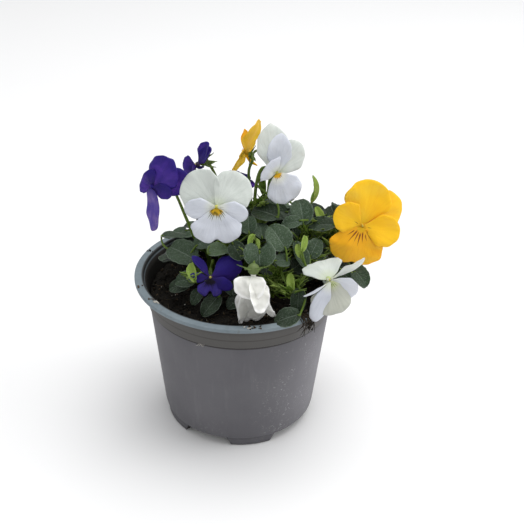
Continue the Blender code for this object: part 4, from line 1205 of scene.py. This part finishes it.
LEAF = leaf_finish("leaf_green", tint(13, 28, 8), tint(52, 70, 49), tint(94, 116, 80),
                   tint(146, 160, 146))
YOUNG = leaf_finish("young_green", tint(50, 76, 12), tint(90, 119, 28), tint(138, 162, 72),
                    tint(174, 190, 122))
STEM = stem_finish("stem_green", tint(58, 82, 20), tint(100, 122, 38), tint(88, 70, 46))
SEPAL = leaf_finish("sepal_green", tint(46, 66, 26), tint(80, 104, 44), tint(130, 150, 76),
                    tint(152, 170, 108))


# %% A leaf's shape
def leaf(stem, share, centre, face, clock, length, width, tone, fold=14.0, arch=30.0,
         sinus=0.0):
    """One leaf: where it leaves its stem, its blade's place and pose, its heart notch."""
    return {"stem": stem, "share": share, "centre": centre, "face": face,
            "clock": clock, "length": length, "width": width, "fold": fold,
            "arch": arch, "tone": tone, "sinus": sinus}


def leaf_outline(share):
    """Half width of an oval leaf, as a share of the widest place."""
    low = 0.13 * (1 - share) + 0.015
    return max(math.sin(math.pi * min(share, 0.9995) ** 0.84) ** 0.52, low)


def lance_outline(share):
    """Half width of a narrow pointed lobe."""
    return max(math.sin(math.pi * min(share + 0.12, 0.9995) ** 0.9) ** 0.8, 0.03)


LEAF_TEETH = 5.0
TOOTH_DEPTH = 0.028
RIM_WAVE = 0.45
LEAF_SKIN = 0.4
LEAF_CELLS = (12, 22)
SMALL_LEAF = 9
SMALL_LEAF_CELLS = (8, 14)
STALK_SINK = 1.6


def blade_point(u, v, spec, outline, salt, teeth=TOOTH_DEPTH):
    """Map a square on to a folded, toothed and quilted blade."""
    share = (v + 1) / 2
    out = abs(u)
    tooth = 0.5 - 0.5 * math.cos(math.tau * (share * LEAF_TEETH + salt * (1 if u > 0 else 1.3)))
    half = spec["width"] / 2 * outline(share) * (1 - teeth * out ** 3 * (1 - tooth ** 0.6) * 2)
    fold = math.radians(spec["fold"])
    x = u * half
    crease = math.sqrt(out * out + 0.012) - 0.11
    z = crease * half * math.sin(fold) - 0.22 * math.exp(-(x / 0.7) ** 2)
    side = 1 if u > 0 else -1
    z += RIM_WAVE * math.sin(share * 8.5 + salt * 6 + side) * out ** 2 * spec["width"] / 14
    quilt = math.cos(math.tau * (share * SIDE_VEINS - out * VEIN_SLANT))
    z += 0.13 * quilt * out * (1 - out) * 3
    z += noise.noise(Vector((x * 0.14, share * 2.4, salt * 17))) * 0.9 * out
    lobe = min(abs(x) / (0.12 * spec["width"]), 1.0) * (1 - share) ** 2
    y = share * spec["length"] - spec.get("sinus", 0.0) * lobe
    place = bend(x * math.cos(fold), y, z, spec["length"], spec["arch"])
    return place, ((u + 1) / 2, share), 0.0


def leaf_frame(spec):
    """A leaf's frame, with the blade's base at the origin and its tip along y."""
    frame = face_frame(spec["centre"], *spec["face"], spec["clock"])
    return frame @ Matrix.Translation((0, -spec["length"] / 2, 0))


def point_on(route, share):
    """The point at a share of a route's length."""
    lengths = [(b - a).length for a, b in zip(route, route[1:])]
    target = share * sum(lengths)
    for start, end, length in zip(route, route[1:], lengths):
        if target <= length:
            return start.lerp(end, target / length)
        target -= length
    return route[-1]


def stalk_route(start, frame):
    """The leaf stalk, from its stem to just inside the blade's base."""
    base = frame.translation
    along = (frame.to_3x3() @ Vector((0, 1, 0))).normalized()
    span = (base - start).length
    middle = (start + base - along * span * 0.5) / 2 + lift(span * 0.08)
    return smooth_route((start, middle, base, base + along * STALK_SINK), 5)


def add_leaf(piece, spec, start, salt, finish):
    """Lay a leaf's blade and its stalk."""
    frame = leaf_frame(spec)
    cells = LEAF_CELLS if spec["length"] > SMALL_LEAF else SMALL_LEAF_CELLS
    spots = lay_blade(piece, cells, blade_point, (spec, leaf_outline, salt), frame, finish,
                      spec["tone"], LEAF_SKIN)
    stalk = stalk_route(start, frame)
    sweep(piece, stalk, (0.75, 0.65, 0.6, 0.55, 0.4, 0.3), 8, STEM, (0.3, 0.2))
    TAKEN.extend(spots[::5] + stalk[::2])


# %% [markdown]
# ## Leafy stems
#
# Each stem rises from a hole in the soil, carries its leaves on stalks and lobed stipules at
# its joints, and, where it flowers, hooks over at the top into the green calyx. The routes
# repeat the solid model's, drawn as smooth curves.

# %% Routes of the stems
# For each stem: where it leaves the soil, then points on its way up.
STEMS = {
    "purple_left": ((-18, 11), (-19, 9, 98), (-25, 3, 110), (-30, 1, 124), (-36, 0, 141)),
    "purple_back": ((-12, 19), (-12, 20, 98), (-13, 21, 118), (-13, 20, 137)),
    "white_front": ((-4, 3), (-5, 1, 98), (-8, -4, 116), (-11, -8, 134)),
    "yellow_top": ((3, 17), (4, 17, 98), (6, 17, 118), (4.5, 17, 136), (4.2, 14.5, 148)),
    "white_top": ((13, 8), (12, 8, 98), (8, 9, 118), (8, 9, 139), (11, 10, 151)),
    "yellow_right": ((35, -1), (37, 0, 96), (45, 2, 106), (55, 1, 118)),
    "white_low": ((28, -10), (30, -13, 92), (36, -20, 100), (41, -28, 108)),
    "white_wilted": ((7, -8), (7, -11, 94), (8, -20, 104), (8, -28, 110)),
    "purple_low": ((-15, -5), (-15, -8, 92), (-15, -14, 102), (-15, -20, 110)),
    "purple_far": ((-1, 28), (-1, 26, 96), (0, 22, 110), (0, 17, 124)),
    "leafy_left": ((-24, 3), (-24, 1, 90), (-26, -3, 97), (-28, -6, 102)),
    "leafy_front": ((18, -13), (19, -16, 92), (21, -21, 102), (22, -25, 110)),
    "leafy_right": ((30, 9), (32, 8, 96), (36, 6, 110), (38, 3, 120)),
    "leafy_back": ((26, 25), (28, 28, 94), (33, 33, 106), (36, 36, 116)),
    "leafy_back_left": ((-18, 30), (-20, 32, 92), (-24, 37, 102), (-27, 40, 110)),
}
CALYX = Vector((0.0, 0.0, -5.0))
HOOK = (Vector((0, 1.2, -8)), Vector((0, 1.8, -4)))
ROOT_DEPTH = 9.0


def stem_route(key):
    """A stem's smooth route, from its root to its calyx or its end."""
    (x, y), *route = STEMS[key]
    ground = soil_height(x, y)
    points = [(x, y, ground - ROOT_DEPTH), (x, y, ground + 2.0), *route]
    if key in BLOOMS:
        frame = flower_frame(BLOOMS[key])
        arc = BLOOMS[key].get("arc", HOOK)
        points += [frame @ (CALYX + Vector(offset)) for offset in arc] + [frame @ CALYX]
    return smooth_route(points, 6)


ROUTES = {key: stem_route(key) for key in STEMS}
for route in ROUTES.values():
    TAKEN.extend(route)
print("stems:", len(ROUTES))

# %% Leaves listed one by one
# Under each stem: share of the stem, centre of the blade, where its face looks, clock angle,
# length, width and tone (painted shade and light); then, where they aren't the usual ones,
# fold, arch and heart notch.
LEAVES_BY_STEM = {
    "leafy_left": [
        (0.95, (-33, -6, 108), (-100, 60), 60, 21, 17, 0.42),
        (0.80, (-35, 13, 107), (100, 72), 75, 21, 17, 0.3),
        (0.70, (-43, 5, 100), (-160, 50), 100, 13, 10, 0.25),
        (0.90, (-20, -4, 114), (-90, 50), -50, 13, 10, 0.45),
        (0.45, (-34, -18, 93), (-100, 62), 100, 13, 10, 0.25),
        (0.55, (-30, -20, 98), (-90, 55), 95, 13, 10, 0.35)],
    "white_front": [
        (0.55, (-11, -17, 116), (-60, 76), -80, 17, 11, 0.78),
        (0.50, (-2, -21, 117), (-90, 50), -150, 11, 10, 0.3)],
    "white_top": [
        (0.50, (11, -12, 125), (-80, 45), 0, 10, 9, 0.4),
        (0.60, (4, -11, 128), (-110, 40), 20, 11, 10, 0.5),
        (0.72, (13, -3, 132), (-90, 62), 60, 17, 14, 0.2)],
    "leafy_front": [
        (0.95, (20, -23, 127), (-80, 38), 25, 16, 15, 0.62),
        (0.85, (23, -29, 116), (-60, 55), -100, 11, 8, 0.4),
        (0.50, (31, -39, 96), (-90, 36), 176, 15, 9, 0.25),
        (0.35, (24.5, -52.5, 95), (-88, 60), 104, 15, 11, 0.2)],
    "white_wilted": [
        (0.80, (10, -35.5, 120.5), (-90, 48), 180, 8, 20, 0.5, 30, 30, 5.0),
        (0.25, (-2, -30, 91), (-90, 70), 120, 13, 10, 0.15)],
    "leafy_right": [
        (0.95, (33, -6, 134), (-90, 40), 8, 16, 14, 0.45, 24),
        (0.90, (27, -14, 131), (-90, 58), 100, 12, 8, 0.5),
        (0.85, (44, -6, 126), (-90, 60), 84, 16, 10, 0.3),
        (0.75, (52, 14, 121), (-70, 50), -30, 15, 11, 0.35)],
    "white_low": [
        (0.60, (33, -22, 116), (-60, 25), 8, 16, 9, 0.6, 20),
        (0.75, (40, -17, 117), (-100, 32), -18, 12, 10, 0.5)],
    "yellow_right": [
        (0.45, (44, -10, 112), (-70, 50), -60, 14, 11, 0.3),
        (0.60, (67, -15, 98), (-60, 45), -150, 15, 12, 0.35),
        (0.50, (58, -16, 99), (-90, 45), -115, 12, 9, 0.35)],
    "purple_low": [
        (0.20, (-16, -33, 90), (-90, 58), 140, 15, 10, 0.2),
        (0.30, (-24, -28, 92), (-95, 50), 155, 10, 7, 0.3),
        (0.45, (-5, -26, 100), (-90, 45), -170, 14, 11, 0.25)],
}
YOUNG_BY_STEM = {
    "white_wilted": [
        (0.86, (5.5, -23, 125), (-120, 36), 14, 11, 5, 0.8, 50, 60),
        (0.84, (9, -22, 122.5), (-50, 30), -40, 10, 5, 0.9, 54, 60),
        (0.82, (7, -24, 121), (-90, 60), -70, 9, 5, 0.5, 40)],
    "white_low": [
        (0.74, (34, -24, 124), (-80, 30), -20, 10, 5, 1.0, 46, 50),
        (0.70, (31, -23, 119), (-110, 30), 30, 9, 5, 0.9, 46, 50)],
    "white_top": [
        (0.80, (12, 9, 144), (-90, 10), 6, 16, 5, 0.2, 50, 20),
        (0.78, (15.5, 9, 141), (-70, 10), -14, 14, 5, 0.3, 50, 20)],
    "leafy_left": [
        (0.92, (-26, -28, 108), (-120, 40), 40, 13, 7, 0.85, 40),
        (0.88, (-22, -27, 106), (-80, 45), -30, 11, 6, 0.7, 40)],
    "leafy_right": [
        (0.97, (44, 4, 126), (-80, 40), 10, 13, 6, 0.9, 34),
        (0.92, (50, 3, 121), (-70, 50), -40, 12, 6, 0.75, 30)],
    "leafy_front": [
        (0.90, (27, -32, 104), (-100, 35), 14, 12, 6, 0.9, 40)],
}
# Places deep in the plant, where leaves painted dark as shade close the gaps between the stems.
DEEP_PLACES = (
    (15.1, 14, 126), (11.9, 12, 120), (19.3, 16, 122), (24.5, 14, 118), (29.1, 12, 113),
    (33.7, 10, 109), (38.2, 14, 115), (44.7, 12, 120), (50.4, 10, 115), (54.2, 8, 107),
    (48.6, 6, 103), (40.6, 4, 101), (31.5, 6, 101), (25.3, 4, 97), (2.9, 8, 117), (-1.5, 4, 110),
    (43.1, 10, 126), (50.9, 8, 125), (5.1, 16, 124), (33.5, -4, 99), (39.0, -6, 97),
    (21.2, -2, 97), (14.3, -4, 98), (56.6, 0, 96), (60.1, 0, 100), (38.4, 12, 108),
    (50.4, 10, 107), (17.3, 18, 114), (27.4, 18, 120), (60, 12, 120), (55.9, 14, 125),
    (25.3, 10, 105), (17.7, 10, 113), (9.8, 10, 111), (-9, 10, 108), (-16, 12, 112),
)


def by_stem(rows_of):
    """Leaves from a table that lists its rows under their stems."""
    return [leaf(stem, *row) for stem, rows in rows_of.items() for row in rows]


def deep_leaf(place, rng):
    """A leaf deep in the plant, painted dark as shade, on the stem that passes nearest to it."""
    near = []
    for key, route in ROUTES.items():
        for index, point in enumerate(route[12:-8]):
            near.append(((Vector(place) - point).length, key, (index + 12) / len(route)))
    key, share = min(near)[1:]
    face = (rng.uniform(-140, -40), rng.uniform(35, 65))
    length = rng.uniform(12, 16)
    return leaf(key, share, place, face, rng.uniform(-80, 80), length,
                length * rng.uniform(0.75, 0.9), rng.uniform(0.0, 0.3))


rng = random.Random(SEED + 5)
LEAVES = by_stem(LEAVES_BY_STEM) + [deep_leaf(place, rng) for place in DEEP_PLACES]
YOUNG_LEAVES = by_stem(YOUNG_BY_STEM)
CURLED = leaf("leafy_right", 0.98, (46.5, 8, 137.7), (180, 50), 0, 19.5, 8, 0.9, 50, -100)
print("leaves placed by hand:", len(LEAVES) + 1)

# %% Leaves added by a rule
# For each stem: how many leaves at most, and the azimuths between which they grow.
MORE_LEAVES = {
    "purple_left": (4, 100, 190), "purple_back": (7, 60, 220), "white_front": (7, -120, 200),
    "yellow_top": (8, -60, 150), "white_top": (9, -120, 120), "yellow_right": (8, -60, 110),
    "purple_far": (7, 10, 170), "leafy_left": (5, 90, 210), "leafy_right": (8, -120, 90),
    "leafy_back": (9, -40, 140), "leafy_back_left": (8, 60, 210), "white_low": (4, -120, 60),
    "white_wilted": (5, -40, 200), "leafy_front": (6, -60, 120),
}
FRONT_OF_RULE = 3.0
LEAF_GAP = 1.1
LOWEST_LEAF = 86.0
TALLEST_LEAF = 124.5
LEFT_LIMIT = -14.0
TRIES = 90
BOX_LOW, BOX_HIGH = [TO_METRES.inverted() @ Vector(corner) for corner in cad_box]


def tree_of(points):
    """A search tree of what is already there."""
    tree = kdtree.KDTree(len(points))
    for index, point in enumerate(points):
        tree.insert(point, index)
    tree.balance()
    return tree


def draw_leaf(key, sector, rng):
    """Draw a leaf that grows from a stem into the stem's own sector."""
    share = rng.uniform(0.25, 0.8)
    start = point_on(ROUTES[key], share)
    azimuth = rng.uniform(*sector)
    base = start + heading(azimuth, rng.uniform(5, 50)) * rng.uniform(6, 17)
    length = rng.uniform(10, 18)
    pitch = rng.uniform(-30, 20)
    centre = base + heading(azimuth, pitch) * length / 2
    face = (azimuth, min(90 + pitch, 86))
    return leaf(key, share, centre, face, 180 + rng.uniform(-25, 25), length,
                length * rng.uniform(0.68, 0.85), rng.uniform(0.1, 0.7))


def fits_box(spots):
    """Whether a leaf stays inside the solid model's box and over the soil or the rim."""
    return all(BOX_LOW.x < spot.x < BOX_HIGH.x and FRONT_OF_RULE < spot.y < BOX_HIGH.y
               and LOWEST_LEAF < spot.z < TALLEST_LEAF + min(spot.x - LEFT_LIMIT, 0.0)
               for spot in spots)


def leaf_spots(spec):
    """A few points over a leaf, to test it by."""
    frame = leaf_frame(spec)
    return [frame @ blade_point(u / 3, v / 4, spec, leaf_outline, 0.0)[0]
            for u in range(-3, 4, 2) for v in range(-4, 5, 2)]


def grow_leaves(rng):
    """Leaves by the rule, each clear of flowers, stems and other leaves."""
    grown = []
    points = list(TAKEN)
    for spec in LEAVES + YOUNG_LEAVES + [CURLED]:
        points += leaf_spots(spec)
    taken = tree_of(points)
    for key, (count, low, high) in MORE_LEAVES.items():
        added = 0
        for _ in range(TRIES):
            if added == count:
                break
            spec = draw_leaf(key, (low, high), rng)
            spots = leaf_spots(spec)
            if fits_box(spots) and not any(taken.find_range(spot, LEAF_GAP) for spot in spots):
                grown.append(spec)
                points += spots
                taken = tree_of(points)
                added += 1
    return grown


grown_leaves = grow_leaves(random.Random(SEED + 3))
print("leaves added by the rule:", len(grown_leaves))

# %% Stipules
# Under each stem: the joint as a share of the stem or as a place beside it, the heading and
# rise of the cluster, how many there are and how long.
STIPULES = {
    "leafy_front": [
        ((26.9, -32, 94.5), -95, 68, 5, 17), ((30.5, -27, 96), -60, 60, 4, 15),
        ((22, -30, 97), -130, 55, 3, 13), ((23.1, -20, 105), -80, 62, 4, 13),
        ((18, -22, 104), -90, 60, 3, 12), (0.62, -40, 50, 4, 14), (0.34, -90, 52, 5, 17),
        (0.48, -60, 66, 4, 15)],
    "leafy_right": [
        ((42.7, 2, 122), -60, 60, 3, 12), ((49.7, 2, 116), -40, 60, 3, 13),
        ((54.5, 0, 107), -20, 55, 3, 13), ((34, 4, 106), -80, 60, 4, 15),
        ((41, -2, 100), -80, 60, 4, 15), ((44.7, -4, 118), -70, 62, 4, 12),
        ((49.7, -8, 111), -60, 60, 4, 13), ((42.6, -12, 106), -80, 60, 4, 13),
        ((34.1, -4, 120), -90, 62, 3, 11), ((30.8, -10, 113), -80, 60, 4, 12),
        ((55.2, 4, 119), -50, 60, 3, 10), (0.55, -60, 55, 4, 14), (0.86, 0, 58, 4, 12),
        (0.97, 40, 62, 3, 10), (0.70, -50, 55, 2, 11)],
    "white_top": [
        ((10, 4, 118), -60, 60, 3, 13), ((9, 6, 130), -50, 64, 3, 12),
        ((11.4, 4, 130), -80, 66, 3, 12), ((16, 0, 112), -80, 60, 3, 13)],
    "yellow_top": [
        ((6, 14, 125), -90, 60, 3, 13)],
    "leafy_left": [
        ((-25, -27, 101), -100, 60, 3, 12), (0.60, -150, 40, 2, 10)],
    "yellow_right": [
        ((58.2, -10, 97), -70, 55, 3, 12), (0.72, 60, 60, 3, 11)],
    "white_wilted": [
        ((4, -20, 112), -100, 60, 3, 12), (0.55, -60, 55, 2, 10)],
    "white_front": [
        (0.52, -60, 45, 2, 10)],
    "white_low": [
        (0.45, -90, 60, 2, 11)],
    "purple_left": [
        (0.86, 60, 40, 1, 6)],
    "leafy_back": [
        (0.70, 60, 50, 2, 10)],
    "purple_back": [
        (0.50, 120, 50, 1, 10)],
    "purple_far": [
        (0.55, 90, 50, 1, 10)],
}
STIPULE_SPREAD = 48.0
LOBE_WIDENING = 1.65
LOBE_CELLS = (4, 10)
LOBE_SKIN = 0.35
LOBES = ((0.0, 1.0, 0.17), (-24.0, 0.72, 0.1), (22.0, 0.76, 0.1), (-46.0, 0.5, 0.08),
         (44.0, 0.46, 0.08))


def lay_lobe(piece, frame, length, width, finish, tone, arch=24.0, salt=0.0):
    """One narrow pointed lobe."""
    spec = {"length": length, "width": width, "fold": 16.0, "arch": arch}
    lay_blade(piece, LOBE_CELLS, blade_point, (spec, lance_outline, salt, 0.0), frame, finish,
              tone, LOBE_SKIN)


def outward_frame(start, azimuth, rise):
    """Frame whose y axis runs outward and up from a joint."""
    out = heading(azimuth, rise)
    side = out.cross(Vector((0, 0, 1))).normalized()
    turn = Matrix((side, out, side.cross(out))).transposed().to_4x4()
    return Matrix.Translation(start + out * 0.5) @ turn


def add_stipules(piece, key, joint, azimuth, rise, count, length, rng):
    """Lobed stipules spread round a heading at a joint of the stem."""
    if isinstance(joint, tuple):
        start = Vector(joint)
        foot = point_on(ROUTES[key], 0.3)
        middle = foot.lerp(start, 0.5) - lift(2)
        sweep(piece, smooth_route((foot, middle, start), 5), (0.6, 0.45), 6, STEM, (0.3, 0.2))
    else:
        start = point_on(ROUTES[key], joint)
    for index in range(count):
        spread = (index - (count - 1) / 2) * STIPULE_SPREAD
        size = length * rng.uniform(0.8, 1.0)
        frame = outward_frame(start, azimuth + spread, rise + rng.uniform(-14, 14))
        for angle, share_long, share_wide in LOBES:
            turn = rotation(angle + rng.uniform(-4, 4), "Z")
            tip = rotation(rng.uniform(-8, 8), "X")
            lay_lobe(piece, frame @ turn @ tip, size * share_long,
                     size * share_wide * LOBE_WIDENING, YOUNG, rng.uniform(0.3, 1.0),
                     salt=rng.random())


# %% Calyx
def add_calyx(piece, bloom, frame, rng):
    """Five narrow sepals round the hook's end, each with a short flap behind."""
    radius, drop = bloom.get("sepals", (6.5, 1.6))
    reach = math.hypot(radius, drop)
    for index in range(5):
        turn = rotation(index * 72, "Z")
        lean = Matrix.Rotation(-math.atan2(drop, radius), 4, "X")
        base = frame @ Matrix.Translation(CALYX) @ turn @ lean
        lay_lobe(piece, base, reach, min(2.6, reach * 0.32), SEPAL, rng.uniform(0.2, 0.8),
                 4.0, rng.random())
        flap = base @ rotation(-118, "X")
        if "cap" not in bloom:
            lay_lobe(piece, flap, 2.4, 1.7, SEPAL, 0.4, 10.0)
    add_ball(piece, frame, CALYX, bloom.get("cap", 1.5), SEPAL if "cap" in bloom else STEM)


# %% Build every stem
STEM_RADIUS = 1.25
PEDICEL_RADIUS = 0.8
BARE_TIP_RADIUS = 0.7
BROWN_STEMS = {"purple_left": (0.1, 0.9), "purple_back": (0.2, 0.8)}


def build_shoot(key, rng):
    """One leafy stem with everything that it carries."""
    piece = Piece("shoot_" + key)
    tip = PEDICEL_RADIUS if key in BLOOMS else BARE_TIP_RADIUS
    radii = (STEM_RADIUS, STEM_RADIUS, (STEM_RADIUS + tip) / 2, tip, tip, tip)
    sweep(piece, ROUTES[key], radii, 12, STEM, BROWN_STEMS.get(key, (0.1, 0.3)))
    if key in BLOOMS:
        add_calyx(piece, BLOOMS[key], flower_frame(BLOOMS[key]), rng)
    for spec in LEAVES + YOUNG_LEAVES + grown_leaves:
        if spec["stem"] == key:
            finish = YOUNG if spec in YOUNG_LEAVES else LEAF
            add_leaf(piece, spec, point_on(ROUTES[key], spec["share"]), rng.random(), finish)
    for cluster in STIPULES.get(key, ()):
        add_stipules(piece, key, *cluster, rng)
    if key == "leafy_right":
        add_leaf(piece, CURLED, point_on(ROUTES[key], CURLED["share"]), 0.3, YOUNG)
    return piece.make("leaf_green", "stem_" + key)


rng = random.Random(SEED + 4)
for key in STEMS:
    build_shoot(key, rng)

# %% [markdown]
# ## The studio
#
# The object stands on a plain pale floor under broad soft light, as on an overcast day: a
# wide lamp overhead and a little behind for the rim and the petals' edges, a weaker one in
# front, one from the right, and a pale world that fills the shadows.


# %% Floor
def pale_floor():
    """A wide pale sheet, not part of the object."""
    bm = bmesh.new()
    bmesh.ops.create_grid(bm, x_segments=1, y_segments=1, size=4.0)
    bmesh.ops.translate(bm, verts=bm.verts, vec=(0, 0, -0.0002))
    mesh = mesh_of(bm, "floor")
    paper = Finish("floor_paper", {"Roughness": 0.9, "Specular IOR Level": 0.1})
    cloud = paper.noise(paper.place(), 3, 2)
    paper.feed("Base Color", paper.mix((0.9, 0.9, 0.9, 1), (0.92, 0.92, 0.92, 1), cloud))
    mesh.materials.append(paper.material)
    floor = add_object("floor", mesh)


# %% Light
def soft_light(name, place, target, size, power):
    """A square lamp in metres, turned to its target."""
    lamp = bpy.data.lights.new(name, "AREA")
    lamp.shape = "SQUARE"
    lamp.size = size
    lamp.energy = power
    obj = add_object(name, lamp)
    aim = (Vector(target) - Vector(place)).to_track_quat("-Z", "Y")
    obj.matrix_world = Matrix.Translation(place) @ aim.to_matrix().to_4x4()


pale_floor()
soft_light("overhead", (0.25, 0.2, 1.3), (0, 0, 0.1), 1.2, 12.0)
soft_light("front_fill", (-0.6, -1.1, 0.7), (0, 0, 0.08), 0.9, 1.2)
soft_light("right_edge", (1.0, -0.1, 0.5), (0, 0, 0.06), 0.7, 3.0)
world = bpy.data.worlds.new("overcast")
bpy.context.scene.world = world
world.use_nodes = True
sky = world.node_tree.nodes["Background"]
sky.inputs[0].default_value = (0.985, 0.99, 1.0, 1.0)
sky.inputs[1].default_value = 0.62
bpy.context.scene.view_settings.view_transform = "Standard"
